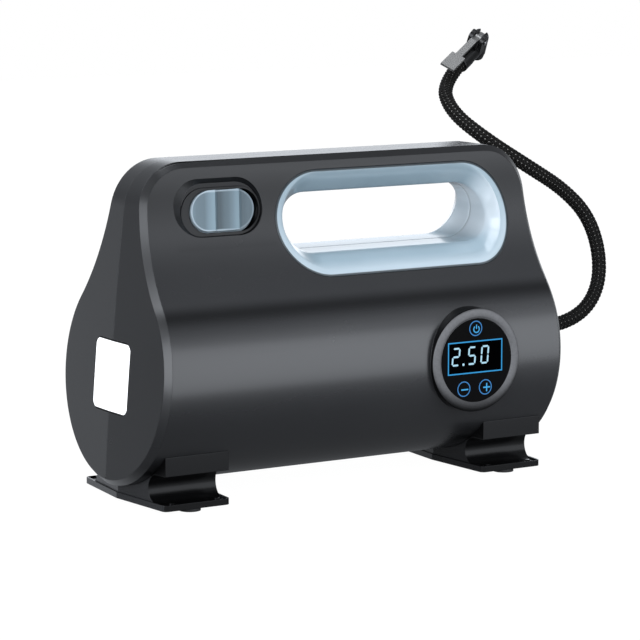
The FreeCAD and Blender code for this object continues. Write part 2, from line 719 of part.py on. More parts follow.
def make_vent():
    """Round grille over the fan, with slots in two rings."""
    body = doc.addObject("PartDesign::Body", "vent")
    sketch = outline(body, "XZ_Plane", [
        (0, 60.4), (dim("bezel_tube") - 3.0, 60.4), (dim("bezel_tube") - 3.0, 53), (dim("bezel_tube"), 53),
        (dim("bezel_tube"), dim("skirt_front")), (dim("bezel_radius"), dim("skirt_front")),
        (dim("bezel_radius"), dim("bezel_front") - 1.0), (dim("bezel_radius") - 1.0, dim("bezel_front")),
        (0, dim("bezel_front")),
    ])
    spin = body.newObject("PartDesign::Revolution", "dish")
    spin.Profile = sketch
    spin.ReferenceAxis = (sketch, ["V_Axis"])
    spin.Angle = 360
    doc.recompute()
    cuts = []
    for inner, outer, half in ((5.0, 11.5, 1.1), (13.5, 21.0, 1.4)):
        slot = outline(body, "XY_Plane", [(inner, -half), (outer, -half), (outer, half), (inner, half)])
        pocket = body.newObject("PartDesign::Pocket", "slot")
        pocket.Profile = slot
        pocket.Type = 1
        pocket.Reversed = True
        cuts.append(pocket)
        doc.recompute()
    for pocket, number in zip(cuts, (10, 20)):
        ring = body.newObject("PartDesign::PolarPattern", "slots")
        ring.Originals = [pocket]
        ring.Axis = (origin_plane(body, "Z_Axis"), [""])
        ring.Angle = 360
        ring.Occurrences = number
        body.Tip = ring
        doc.recompute()
    put(body, (dim("motor_x"), 0, dim("drive_height")), ALONG_Y)
    node("rear_vent", body)


def make_lamp_board():
    board = block((-119.6, -17.5, 51.0), (-118.0, 17.5, 85.0))
    lights = [cylinder(2.6, 2.0, (-121.6, y, z), ALONG_X) for y in (-8.0, 8.0) for z in (60.0, 76.0)]
    node("lamp_board", fuse(board, *lights))


def make_switch():
    """Ring, slider and switch in the sloped face above the barrel."""
    face = -num("ring_drop")
    back = face - num("ring_thick")
    ring = switch_solid("ring", back, face).cut(switch_solid("slot", back - 1.0, face + 1.0))
    node("switch_bezel", solid(in_switch(ring)))
    knob = switch_solid("knob", back - 0.4, num("knob_proud"))
    first = num("ridge_first")
    pitch = num("ridge_pitch")
    knob = knob.cut([ridge_hollow(first - pitch, 0.0), ridge_hollow(first, 1.0), ridge_hollow(first + pitch, 1.0)])
    flange_front = back - 0.2
    flange_back = flange_front - num("flange_thick")
    flange = switch_solid("flange", flange_back, flange_front)
    middle = (num("knob_left") + num("knob_right")) / 2.0
    stem = Part.makeBox(4, 3, 3, FreeCAD.Vector(middle - 2, -1.5, flange_back - 2.7))
    node("switch_slider", solid(in_switch(knob.fuse([flange, stem]))))
    case = Part.makeBox(26, 11, 7, FreeCAD.Vector(middle - 13, -5.5, flange_back - 8.3))
    window = Part.makeBox(11, 4, 2.8, FreeCAD.Vector(middle - 4, -2, flange_back - 3.7))
    node("switch_body", solid(in_switch(case.cut(window))))


def ridge_hollow(ridge, steep):
    """The hollow of the slider between two ridges: it drops steeply or not at all, then rises to the next one."""
    crest = num("knob_proud")
    depth = num("ridge_depth")
    pitch = num("ridge_pitch")

    def corner(across, height):
        return FreeCAD.Vector(ridge + across * pitch, -20.0, crest + height)

    low = corner(0.31 * steep, -depth)
    if steep:
        edges = [Part.Arc(corner(0, 0), corner(0.09, -0.76 * depth), low).toShape()]
    else:
        edges = [Part.makeLine(corner(0, 0), low)]
    edges += [
        Part.Arc(low, corner(0.655, -0.72 * depth), corner(1.0, 0)).toShape(),
        Part.makeLine(corner(1.0, 0), corner(1.0, 2.0)),
        Part.makeLine(corner(1.0, 2.0), corner(0, 2.0)),
        Part.makeLine(corner(0, 2.0), corner(0, 0)),
    ]
    return leaned(Part.Face(Part.Wire(edges)).extrude(FreeCAD.Vector(0, 40.0, 0)))


def make_motor():
    """Motor can, rotor, pinion and fan, all about one axis along Y."""
    x = dim("motor_x")
    z = dim("drive_height")
    front = dim("motor_front")
    radius = dim("motor_radius")
    length = dim("motor_length")
    shaft = dim("shaft_radius")
    can = cylinder(radius, length, (x, front, z), ALONG_Y)
    room = cylinder(radius - 1.5, length - 4.0, (x, front + 2.0, z), ALONG_Y)
    hole = cylinder(shaft + 0.08, length + 2.0, (x, front - 1.0, z), ALONG_Y)
    taps = [cylinder(1.35, 4.0, (x + dx, front - 1.0, z + dz), ALONG_Y) for dx, dz in MOTOR_POSTS]
    node("motor_can", cut(can, room, hole, *taps))
    node("motor_shaft", cylinder(shaft, 80.0, (x, -33.0, z), ALONG_Y))
    core = cylinder(radius - 4.0, length - 14.0, (x, front + 7.0, z), ALONG_Y)
    node("motor_armature", cut(core, cylinder(shaft, length, (x, front, z), ALONG_Y)))
    node("drive_pinion", toothed(dim("pinion_teeth"), dim("gear_thick"), shaft, (x, dim("gear_front"), z), ALONG_Y))
    hub = turned([(shaft, 0), (5.0, 0), (5.0, dim("fan_thick")), (shaft, dim("fan_thick"))],
                 (x, dim("fan_front"), z), ALONG_Y)
    tip = dim("fan_radius")
    blade_sketch = outline(hub, "XY_Plane", [(4.6, -0.6), (tip, 1.4), (tip, 2.6), (4.6, 0.6)])
    blade = hub.newObject("PartDesign::Pad", "blade")
    blade.Profile = blade_sketch
    bind(blade, "Length", dim("fan_thick"))
    doc.recompute()
    blades = hub.newObject("PartDesign::PolarPattern", "blades")
    blades.Originals = [blade]
    blades.Axis = (origin_plane(hub, "Z_Axis"), [""])
    blades.Angle = 360
    blades.Occurrences = 9
    hub.Tip = blades
    node("cooling_fan", hub)


def make_crank():
    """Crank gear on its axle, which stands on the pump frame."""
    x = dim("crank_x")
    z = dim("drive_height")
    front = dim("gear_front")
    half_tooth = FreeCAD.Rotation(Z_AXIS, 180.0 / num("crank_teeth"))
    node("crank_gear", toothed(dim("crank_teeth"), dim("gear_thick"), dim("bush_radius") + 0.6, (x, front, z),
                               ALONG_Y.multiply(half_tooth)))
    node("crank_bush", turned([
        (dim("axle_radius") + 0.05, 0), (dim("bush_radius") + 0.6, 0), (dim("bush_radius") + 0.6, 8.0),
        (dim("bush_radius"), 8.0), (dim("bush_radius"), 6.2), (dim("axle_radius") + 0.05, 6.2),
    ], (x, front, z), ALONG_Y))
    node("crank_axle", cylinder(dim("axle_radius"), 15.0, (x, dim("plate_front") + 0.2, z), ALONG_Y))
    node("axle_clip", turned([
        (dim("axle_radius") + 0.02, 0), (4.6, 0), (4.6, 0.8), (dim("axle_radius") + 0.02, 0.8),
    ], (x, -23.6, z), ALONG_Y))


def make_pump():
    """Frame, cylinder, piston and head of the pump."""
    x = dim("crank_x")
    z = dim("drive_height")
    motor = dim("motor_x")
    front = dim("plate_front")
    thick = dim("plate_thick")
    back = front + thick
    bore_y = dim("bore_y")
    plate = block((-70.0, front, z - 20.0), (40.0, back, z + 20.0))
    rise = dim("motor_front") - back
    posts = [cylinder(3.0, rise, (motor + dx, back, z + dz), ALONG_Y) for dx, dz in MOTOR_POSTS]
    saddle = block((20.0, back, z - 10.0), (30.0, bore_y - 12.0, z + 10.0))
    ring = cylinder(dim("cylinder_radius") + 3.0, 10.0, (20.0, bore_y, z), ALONG_X)
    bore = cylinder(dim("cylinder_radius") + 0.05, 12.0, (19.0, bore_y, z), ALONG_X)
    holes = [cylinder(1.35, 20.0, (motor + dx, front - 1.0, z + dz), ALONG_Y) for dx, dz in MOTOR_POSTS]
    holes += [cylinder(1.5, 6.0, (sx, front - 1.0, z + sz), ALONG_Y) for sx, sz in FRAME_SCREWS]
    axle_hole = cylinder(dim("axle_radius"), 6.0, (x, front - 1.0, z), ALONG_Y)
    node("pump_frame", cut(fuse(plate, saddle, ring, *posts), bore, axle_hole, *holes))
    node("frame_screws", fuse(*[
        fuse(cylinder(1.25, 11.5, (sx, front - 7.5, z + sz), ALONG_Y),
             cylinder(2.8, 2.0, (sx, back, z + sz), ALONG_Y))
        for sx, sz in FRAME_SCREWS]))
    node("motor_screws", fuse(*[
        fuse(cylinder(1.3, 19.6, (motor + dx, front, z + dz), ALONG_Y),
             cylinder(2.6, 2.0, (motor + dx, front - 2.0, z + dz), ALONG_Y))
        for dx, dz in MOTOR_POSTS]))
    left = dim("cylinder_left")
    right = dim("cylinder_right")
    bolts = [(8.8, 8.8), (8.8, -8.8), (-8.8, 8.8), (-8.8, -8.8)]
    barrel = cylinder(dim("cylinder_radius"), right - left, (left, bore_y, z), ALONG_X)
    inside = cylinder(dim("bore_radius"), right - left + 2.0, (left - 1.0, bore_y, z), ALONG_X)
    threads = [cylinder(0.95, 9.0, (right - 8.0, bore_y + dy, z + dz), ALONG_X) for dy, dz in bolts]
    node("pump_cylinder", cut(barrel, inside, *threads))
    end = dim("head_right")
    head = cylinder(dim("cylinder_radius"), end - right, (right, bore_y, z), ALONG_X)
    barb = cylinder(2.2, 8.0, (end, bore_y, z), ALONG_X)
    outlet = cylinder(1.2, 20.0, (right - 1.0, bore_y, z), ALONG_X)
    clear = [cylinder(1.05, 12.0, (right - 1.0, bore_y + dy, z + dz), ALONG_X) for dy, dz in bolts]
    node("cylinder_head", cut(fuse(head, barb), outlet, *clear))
    node("head_screws", fuse(*[
        fuse(cylinder(0.9, 17.5, (end - 17.5, bore_y + dy, z + dz), ALONG_X),
             cylinder(1.8, 1.4, (end, bore_y + dy, z + dz), ALONG_X)) for dy, dz in bolts]))
    make_piston(x - dim("crank_throw"), bore_y, z)


def make_piston(pin_x, bore_y, z):
    """One-piece rod and piston with its cup, at the far end of its stroke."""
    face = dim("piston_face")
    crown = cylinder(dim("bore_radius") - 0.5, 5.0, (face - 5.0, bore_y, z), ALONG_X)
    stem = block((pin_x + 4.0, bore_y - 2.0, z - 3.5), (face - 4.0, bore_y + 2.0, z + 3.5))
    eye = cylinder(5.2, 8.0, (pin_x, bore_y - 4.0, z), ALONG_Y)
    hole = cylinder(dim("pin_radius"), 10.0, (pin_x, bore_y - 5.0, z), ALONG_Y)
    node("piston_rod", cut(fuse(crown, stem, eye), hole))
    start = dim("gear_front") + dim("gear_thick") + 0.3
    node("crank_pin", cylinder(dim("pin_radius"), bore_y + 5.0 - start, (pin_x, start, z), ALONG_Y))
    node("piston_cup", turned([
        (0, 0), (dim("bore_radius") - 0.05, 0), (dim("bore_radius") - 0.05, 2.6), (dim("bore_radius") - 0.9, 2.6),
        (dim("bore_radius") - 1.6, 1.2), (0, 1.2),
    ], (face, bore_y, z), ALONG_X))
    node("cup_clamp", turned([(0, 1.2), (7.5, 1.2), (7.5, 2.6), (3.0, 2.6), (3.0, 4.0), (0, 4.0)],
                             (face, bore_y, z), ALONG_X))


def bent_wire(points):
    """Straight runs joined by tangent arcs, and the radius of each arc."""
    points = [FreeCAD.Vector(*point) for point in points]
    runs = [end - start for start, end in zip(points, points[1:])]
    edges = []
    radii = []
    last = points[0]
    for index in range(1, len(points) - 1):
        arriving = FreeCAD.Vector(runs[index - 1]).normalize()
        leaving = FreeCAD.Vector(runs[index]).normalize()
        half_turn = arriving.getAngle(leaving) / 2.0
        tangent = 0.45 * min(runs[index - 1].Length, runs[index].Length)
        radius = tangent / math.tan(half_turn)
        corner = points[index]
        start = corner - arriving * tangent
        end = corner + leaving * tangent
        inward = (leaving - arriving).normalize()
        middle = corner + inward * (radius / math.cos(half_turn) - radius)
        edges.append(Part.LineSegment(last, start).toShape())
        edges.append(Part.Arc(start, middle, end).toShape())
        radii.append(radius)
        last = end
    edges.append(Part.LineSegment(last, points[-1]).toShape())
    return Part.Wire(edges), radii


def swept(points, radius):
    """A round cord along a bent wire, with the middle line's length and arc radii."""
    wire, radii = bent_wire(points)
    start = FreeCAD.Vector(*points[0])
    way = FreeCAD.Vector(*points[1]) - start
    ring = Part.Wire([Part.makeCircle(radius, start, way)])
    return wire.makePipeShell([ring], True, True), wire.Length, radii


def make_air_path():
    """Inner tube from the pump to the socket behind the hose."""
    height = num("hose_height")
    points = [(43.0, num("bore_y"), num("drive_height")), (64.0, num("bore_y"), num("drive_height")),
              (84.0, 0.0, height), (116.0, 0.0, height)]
    tube = swept(points, 3.2)[0]
    node("air_tube", solid(tube.cut(swept(points, 2.25)[0])))
    node("hose_socket", turned([
        (1.4, 108), (2.2, 108), (2.2, 118), (6.4, 118), (6.4, 120.2), (9.0, 120.2), (9.0, 123.2), (6.4, 123.2),
        (6.4, 126.5), (1.4, 126.5),
    ], (0, 0, dim("hose_height")), ALONG_X))
    end = dim("gland_end")
    node("hose_gland", turned([
        (0, 126.6), (6.4, 126.6), (6.4, 129.1), (8.6, 129.1), (8.6, 132.0), (7.0, 133.5), (6.7, end - 10.0),
        (5.7, end - 9.4), (5.7, end - 7.6), (6.4, end - 7.0), (6.1, end - 4.6), (5.2, end - 4.0), (5.2, end - 2.2),
        (5.9, end - 1.8), (5.6, end), (0, end),
    ], (0, 0, dim("hose_height")), ALONG_X))


def make_hose():
    """The braided hose: its solid runs along the middle of the braid."""
    tube, length, radii = swept(HOSE_POINTS, num("hose_radius"))
    print("hose length", round(length, 1), "arc radii", [round(radius, 1) for radius in radii])
    print("hose volume over section", round(tube.Volume / (math.pi * num("hose_radius") ** 2), 1))
    node("air_hose", solid(tube))


def chuck_frame():
    """Origin at the hose's end, X along the hose, Z toward the lever."""
    end = FreeCAD.Vector(*HOSE_POINTS[-1])
    along = (end - FreeCAD.Vector(*HOSE_POINTS[-2])).normalize()
    up = (LEVER_SIDE - along * LEVER_SIDE.dot(along)).normalize()
    side = up.cross(along)
    turn = FreeCAD.Rotation(along, side, up, "XZY")
    return FreeCAD.Placement(end, turn)


def make_chuck():
    """Lever chuck on the hose's end, built in its own frame and then set in place."""
    frame = chuck_frame()
    radius = dim("chuck_radius")
    dome = dim("dome_radius")
    valve = dim("valve_radius")
    seal_radius = dim("seal_radius")
    pin = dim("lever_pin_radius")
    pin_x = dim("lever_pin_x")
    pin_z = dim("lever_pin_z")
    head_x = 15.3
    head_z = 6.8
    lean = 4.0
    down = FreeCAD.Rotation(Y_AXIS, 180.0 - lean)

    def along_head(distance):
        """A point on the head's axis below the middle of its dome."""
        angle = math.radians(lean)
        return (head_x + distance * math.sin(angle), 0, head_z - distance * math.cos(angle))

    node("hose_ferrule", set_in(turned([
        (num("hose_radius") + 0.05, -7.0), (5.0, -7.0), (5.2, -6.4), (5.2, 1.4), (4.3, 1.4),
        (num("hose_radius") + 0.05, 1.4),
    ], turn=ALONG_X), frame))
    spigot = cylinder(4.1, 1.6, (0.05, 0, 0), ALONG_X)
    neck = cylinder(radius, head_x - 1.5, (1.5, 0, 0), ALONG_X)
    top = ball(dome, (head_x, 0, head_z))
    tower = cylinder(dome, 12.0, along_head(0), down)
    cheek = cylinder(4.2, 9.8, (pin_x, -4.9, pin_z), ALONG_Y)
    web = block((pin_x - 4.2, -4.9, 0), (pin_x + 4.2, 4.9, pin_z))
    slot_half = dim("lever_width") / 2 + 0.3
    slot = block((5.5, -slot_half, -1.2), (24.0, slot_half, 14.0))
    pin_hole = cylinder(pin + 0.03, 12.0, (pin_x, -6.0, pin_z), ALONG_Y)
    seat = cylinder(seal_radius, 3.2, along_head(9.0), down)
    passage = cylinder(1.1, 16.0, (-1.0, 0, -2.9), ALONG_X)
    body = cut(fuse(spigot, neck, top, tower, cheek, web), slot, pin_hole, seat, passage)
    node("chuck_body", set_in(body, frame))
    nozzle = cone(5.1, 4.6, 3.6, along_head(12.02), down)
    node("chuck_nozzle", set_in(cut(nozzle, cylinder(valve, 6.0, along_head(11.0), down)), frame))
    seal = cylinder(seal_radius - 0.05, 2.9, along_head(9.05), down)
    node("chuck_seal", set_in(cut(seal, cylinder(2.1, 5.0, along_head(8.0), down)), frame))
    node("valve_depressor", set_in(cylinder(0.9, 2.9, along_head(9.02), down), frame))
    rivet = fuse(cylinder(pin, 11.0, (pin_x, -5.5, pin_z), ALONG_Y),
                 cylinder(1.7, 0.5, (pin_x, 5.25, pin_z), ALONG_Y),
                 cylinder(1.7, 0.5, (pin_x, -5.75, pin_z), ALONG_Y))
    node("lever_pin", set_in(rivet, frame))
    make_lever(frame, pin_x, pin_z, pin)


def make_lever(frame, pin_x, pin_z, pin):
    """Flat lever: a paddle, an arm and a tab bent down over the head."""
    thick = 1.4
    tail = -26.0
    knee = 6.0
    knee_z = 11.6
    tab_x = 20.3
    tab_z = 6.4
    tail_z = 12.9
    standing_turn = FreeCAD.Rotation(X_AXIS, 90)
    width = dim("lever_width")
    arm_corners = [
        (tail + 1.0, tail_z - thick), (knee, knee_z - thick), (tab_x - 0.5, tab_z - thick), (tab_x, tab_z),
        (knee, knee_z), (tail + 1.0, tail_z),
    ]
    arm = padded(arm_corners, width, (0, width / 2, 0), standing_turn)
    paddle_end = tail + num("paddle_length")
    fall = (tail_z - knee_z) / (knee - tail)
    paddle_corners = [
        (tail, tail_z - thick), (paddle_end, tail_z - thick - fall * num("paddle_length")),
        (paddle_end, tail_z - fall * num("paddle_length")), (tail, tail_z),
    ]
    wide = dim("paddle_width")
    paddle = padded(paddle_corners, wide, (0, wide / 2, 0), standing_turn)
    eye = cylinder(2.5, width, (pin_x, -(width / 2), pin_z), ALONG_Y)
    hole = cylinder(pin + 0.05, width + 2.0, (pin_x, -(width / 2) - 1.0, pin_z), ALONG_Y)
    node("chuck_lever", set_in(cut(fuse(arm, paddle, eye), hole), frame))


def make_power():
    """Cells, their holder and contacts, the boards and the charge socket."""
    left = dim("cell_left")
    length = dim("cell_length")
    height = dim("cell_height")
    pitch = dim("cell_pitch")
    radius = dim("cell_radius")
    rows = [-pitch, sized(0), pitch]
    node("battery_cells", fuse(*[cylinder(radius, length, (left, y, height), ALONG_X) for y in rows]))
    ends = (left - 0.55, left + length + 0.05)
    contacts = [cylinder(5.5, 0.5, (x, y, height), ALONG_X) for y in rows for x in ends]
    node("battery_contacts", fuse(*contacts))
    low = height - 8.0
    high = height + 9.4
    right = left + length
    near = block((left - 2.6, -25.0, low), (left - 0.6, 25.0, high + 2.0))
    far = block((right + 0.6, -25.0, low), (right + 2.6, 25.0, high + 2.0))
    lid = block((left - 2.6, -25.0, high), (right + 2.6, 25.0, high + 2.0))
    node("battery_holder", fuse(near, far, lid))
    board_z = dim("board_height")
    board = block((24.0, -24.0, board_z), (100.0, 24.0, board_z + 1.6))
    chips = [
        cylinder(5.0, 12.0, (34.0, -10.0, board_z + 1.6)),
        cylinder(5.0, 12.0, (34.0, 6.0, board_z + 1.6)),
        block((50.0, -8.0, board_z + 1.6), (62.0, 4.0, board_z + 3.0)),
        block((70.0, -16.0, board_z + 1.6), (86.0, -6.0, board_z + 9.0)),
    ]
    node("main_board", fuse(board, *chips))
    sensor = block((88.0, 6.0, board_z + 1.65), (97.0, 16.0, board_z + 6.0))
    node("pressure_sensor", fuse(sensor, cylinder(1.6, 5.0, (92.5, 11.0, board_z + 6.0))))
    shell = block((120.6, -4.6, 42.0), (128.4, 4.6, 45.2))
    mouth = block((121.6, -4.2, 42.4), (129.0, 4.2, 44.8))
    tongue = block((121.0, -3.2, 43.3), (127.6, 3.2, 43.9))
    card = block((112.0, -7.0, 40.2), (120.4, 7.0, 41.8))
    neck = block((118.0, -4.0, 41.7), (121.0, 4.0, 45.0))
    node("charge_socket", fuse(cut(shell, mouth), tongue, card, neck))


make_housing()
make_housing_screws()
make_feet()
make_display()
make_vent()
make_lamp_board()
make_switch()
make_motor()
make_crank()
make_pump()
make_air_path()
make_hose()
make_chuck()
make_power()
doc.recompute()

for obj in doc.Objects:
    if "Invalid" in obj.State or "Error" in obj.State:
        raise RuntimeError("%s is not computed: %s" % (obj.Label, obj.State))
for obj in nodes:
    shape = obj.Shape
    if shape.isNull() or not shape.isValid():
        raise RuntimeError("%s has no valid shape" % obj.Label)
    shape.exportStep("parts/%s.step" % obj.Label)
    print(obj.Label, len(shape.Solids), round(shape.Volume))
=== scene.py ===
import math
import bpy
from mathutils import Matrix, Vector


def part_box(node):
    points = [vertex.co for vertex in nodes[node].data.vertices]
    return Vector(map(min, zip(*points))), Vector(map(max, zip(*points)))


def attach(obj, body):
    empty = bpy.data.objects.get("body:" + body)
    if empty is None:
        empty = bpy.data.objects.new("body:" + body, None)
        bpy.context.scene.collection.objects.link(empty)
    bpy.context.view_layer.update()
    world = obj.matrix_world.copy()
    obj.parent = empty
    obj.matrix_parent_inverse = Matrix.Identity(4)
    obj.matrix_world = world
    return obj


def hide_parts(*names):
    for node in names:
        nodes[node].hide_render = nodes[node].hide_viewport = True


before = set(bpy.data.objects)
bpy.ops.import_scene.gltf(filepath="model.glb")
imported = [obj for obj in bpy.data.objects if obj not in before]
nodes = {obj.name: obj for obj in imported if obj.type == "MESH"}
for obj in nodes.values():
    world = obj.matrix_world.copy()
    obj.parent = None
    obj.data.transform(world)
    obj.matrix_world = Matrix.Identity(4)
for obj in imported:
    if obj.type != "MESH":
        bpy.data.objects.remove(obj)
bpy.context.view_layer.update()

# Portable tire inflator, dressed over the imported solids. Metres, +Z up

MM = 0.001

CAMERA_PLACE = (-0.8377, -1.3791, 0.3293)
CAMERA_AZIMUTH, CAMERA_ELEVATION = -31.4167, 8.5067
CAMERA_LENS, CAMERA_SENSOR, CAMERA_CLIP = 167.2, 36.0, 30.0


def add_camera():
    """The photograph's viewpoint: left of the front and a little above."""
    data = bpy.data.cameras.new("camera")
    data.lens = CAMERA_LENS
    data.sensor_width = CAMERA_SENSOR
    data.clip_end = CAMERA_CLIP
    camera = bpy.data.objects.new("camera", data)
    camera.location = CAMERA_PLACE
    camera.rotation_euler = (math.radians(90.0 - CAMERA_ELEVATION), 0.0, math.radians(CAMERA_AZIMUTH))
    bpy.context.scene.collection.objects.link(camera)
    bpy.context.scene.camera = camera


def link(obj):
    """Put an object into the scene."""
    bpy.context.scene.collection.objects.link(obj)
    return obj


def mesh_object(name, points, faces, smooth=True):
    """A new object from points and faces."""
    mesh = bpy.data.meshes.new(name)
    mesh.from_pydata([tuple(point) for point in points], [], faces)
    mesh.update()
    obj = link(bpy.data.objects.new(name, mesh))
    for polygon in mesh.polygons:
        polygon.use_smooth = smooth
    return obj


def dress(obj, material, slot=None):
    """Give a piece its material, and a new piece its body too."""
    obj.data.materials.clear()
    obj.data.materials.append(material)
    if slot:
        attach(obj, "housing")
    return obj


# Shader nodes. A value below is a number or a socket

def shader(name):
    """A new material, its node tree and its Principled shader."""
    material = bpy.data.materials.new(name)
    material.use_nodes = True
    tree = material.node_tree
    return material, tree, tree.nodes["Principled BSDF"]


def feed(tree, socket, value):
    """Give a socket a value, or link another socket to it."""
    if isinstance(value, bpy.types.NodeSocket):
        tree.links.new(value, socket)
    else:
        socket.default_value = value


def noise(tree, scale, detail, rough=0.55, stretch=None):
    """Object-space noise; stretch draws it out along some axes."""
    place = tree.nodes.new("ShaderNodeTexCoord")
    field = tree.nodes.new("ShaderNodeTexNoise")
    field.inputs["Scale"].default_value = scale
    field.inputs["Detail"].default_value = detail
    field.inputs["Roughness"].default_value = rough
    source = place.outputs["Object"]
    if stretch:
        mapping = tree.nodes.new("ShaderNodeMapping")
        mapping.inputs["Scale"].default_value = stretch
        tree.links.new(source, mapping.inputs["Vector"])
        source = mapping.outputs["Vector"]
    tree.links.new(source, field.inputs["Vector"])
    return field.outputs["Fac"]


def split(tree, vector):
    """X, Y and Z of a vector socket."""
    node = tree.nodes.new("ShaderNodeSeparateXYZ")
    tree.links.new(vector, node.inputs["Vector"])
    return node.outputs


def place_parts(tree):
    """X, Y and Z of the shaded point, in metres in the object's frame."""
    return split(tree, tree.nodes.new("ShaderNodeTexCoord").outputs["Object"])


def normal_parts(tree):
    """X, Y and Z of the surface's normal."""
    return split(tree, tree.nodes.new("ShaderNodeNewGeometry").outputs["Normal"])


def mixed(tree, first, second, factor, way="MIX"):
    """Two colours mixed by a factor; a plain colour has four parts."""
    node = tree.nodes.new("ShaderNodeMix")
    node.data_type = "RGBA"
    node.blend_type = way
    feed(tree, node.inputs["Factor"], factor)
    feed(tree, node.inputs["A"], first)
    feed(tree, node.inputs["B"], second)
    return node.outputs["Result"]


def tinted(tree, colour, factor):
    """A colour socket multiplied by a value or by a grey colour."""
    return mixed(tree, colour, factor, 1.0, "MULTIPLY")


def ramp(tree, source, stops):
    """A colour ramp fed by one value; stops are (place, colour)."""
    node = tree.nodes.new("ShaderNodeValToRGB")
    elements = node.color_ramp.elements
    while len(elements) < len(stops):
        elements.new(0.5)
    for element, (place, colour) in zip(elements, stops):
        element.position = place
        element.color = (*colour, 1.0)
    tree.links.new(source, node.inputs["Fac"])
    return node.outputs["Color"]


def span(tree, source, low, high):
    """A value from 0..1 drawn onto low..high."""
    node = tree.nodes.new("ShaderNodeMapRange")
    node.inputs["To Min"].default_value = low
    node.inputs["To Max"].default_value = high
    tree.links.new(source, node.inputs["Value"])
    return node.outputs["Result"]


def slope(tree, source, start, end, low=0.0, high=1.0):
    """A smooth change from low to high while the source goes from start to end."""
    node = tree.nodes.new("ShaderNodeMapRange")
    node.interpolation_type = "SMOOTHSTEP"
    node.inputs["From Min"].default_value = start
    node.inputs["From Max"].default_value = end
    node.inputs["To Min"].default_value = low
    node.inputs["To Max"].default_value = high
    tree.links.new(source, node.inputs["Value"])
    return node.outputs["Result"]


def math_node(tree, operation, first, second=0.0):
    """One step of arithmetic."""
    node = tree.nodes.new("ShaderNodeMath")
    node.operation = operation
    feed(tree, node.inputs[0], first)
    feed(tree, node.inputs[1], second)
    return node.outputs["Value"]


def minus(tree, first, second):
    """The first value less the second."""
    return math_node(tree, "SUBTRACT", first, second)


def chain(tree, operation, values):
    """All the values taken together by one operation."""
    total = values[0]
    for value in values[1:]:
        total = math_node(tree, operation, total, value)
    return total


def product(tree, *values):
    """All the values multiplied together."""
    return chain(tree, "MULTIPLY", values)


def largest(tree, *values):
    """The largest of the values."""
    return chain(tree, "MAXIMUM", values)


def away(tree, source, centre):
    """Distance of a value from a centre."""
    return math_node(tree, "ABSOLUTE", minus(tree, source, centre))


def length_node(tree, first, second):
    """Length of a flat vector from its two parts."""
    total = math_node(tree, "ADD", product(tree, first, first), product(tree, second, second))
    return math_node(tree, "SQRT", total)


def within(tree, sources, amount, *bounds):
    """An amount inside all bounds, fading to nothing; a bound is (source's name, where nothing, where all of it)."""
    slopes = [slope(tree, sources[name], start, end) for name, start, end in bounds]
    return product(tree, *slopes, amount)


def bump(tree, bsdf, source, strength, distance, edge=0.0):
    """Fine relief from a value; edge is the radius that sharp edges are shaded with."""
    node = tree.nodes.new("ShaderNodeBump")
    if edge:
        rounded = tree.nodes.new("ShaderNodeBevel")
        rounded.samples = BEVEL_SAMPLES
        rounded.inputs["Radius"].default_value = edge
        tree.links.new(rounded.outputs["Normal"], node.inputs["Normal"])
    node.inputs["Strength"].default_value = strength
    node.inputs["Distance"].default_value = distance
    tree.links.new(source, node.inputs["Height"])
    tree.links.new(node.outputs["Normal"], bsdf.inputs["Normal"])


def base_colour(bsdf):
    """The socket that now feeds the base colour."""
    return bsdf.inputs["Base Color"].links[0].from_socket


# Materials

BEVEL_SAMPLES = 6
MOTTLE, MOTTLE_DETAIL = 22.0, 5.0
FINE, FINE_DETAIL = 1600.0, 2.0
METAL_GRAIN, METAL_DETAIL, METAL_GRAIN_ROUGH = 900.0, 3.0, 0.6
PLASTIC_RELIEF, METAL_RELIEF, YARN_RELIEF = 0.00008, 0.00004, 0.0001
SOFT_EDGE = 0.0003


def moulded(name, dark, light, rough, grain=FINE, strength=0.12, specular=0.5, coat=0.0, edge=SOFT_EDGE,
            uneven=0.035):
    """Moulded plastic: a fine texture, faint mottling, uneven gloss and softened edges."""
    material, tree, bsdf = shader(name)
    broad = noise(tree, MOTTLE, MOTTLE_DETAIL)
    fine = noise(tree, grain, FINE_DETAIL)
    tree.links.new(ramp(tree, broad, [(0.3, dark), (0.7, light)]), bsdf.inputs["Base Color"])
    tree.links.new(span(tree, broad, rough - uneven, rough + uneven), bsdf.inputs["Roughness"])
    bsdf.inputs["Specular IOR Level"].default_value = specular
    bsdf.inputs["Coat Weight"].default_value = coat
    bump(tree, bsdf, fine, strength, PLASTIC_RELIEF, edge)
    return material


def metal(name, dark, light, rough, stretch, strength=0.2, uneven=0.07):
    """Brushed or cast metal with its grain drawn along one way."""
    material, tree, bsdf = shader(name)
    grain = noise(tree, METAL_GRAIN, METAL_DETAIL, METAL_GRAIN_ROUGH, stretch)
    tree.links.new(ramp(tree, grain, [(0.25, dark), (0.75, light)]), bsdf.inputs["Base Color"])
    tree.links.new(span(tree, grain, rough - uneven, rough + uneven), bsdf.inputs["Roughness"])
    bsdf.inputs["Metallic"].default_value = 1.0
    if strength:
        bump(tree, bsdf, grain, strength, METAL_RELIEF, SOFT_EDGE)
    return material


RING_FRONT_NORMAL = (-0.3, -0.7)
# Painted shade: the ring's wall is painted near black and its bottom darker, where shadow falls
RING_METAL_WALL_SHADE, RING_WALL_SPECULAR, RING_FRONT_SPECULAR = 0.03, 0.02, 0.5
RING_METAL_BOTTOM_SHADE, RING_BOTTOM_DROP = 0.22, 0.008
RING_FLATTEN = (0.35, 1.0, 0.35)


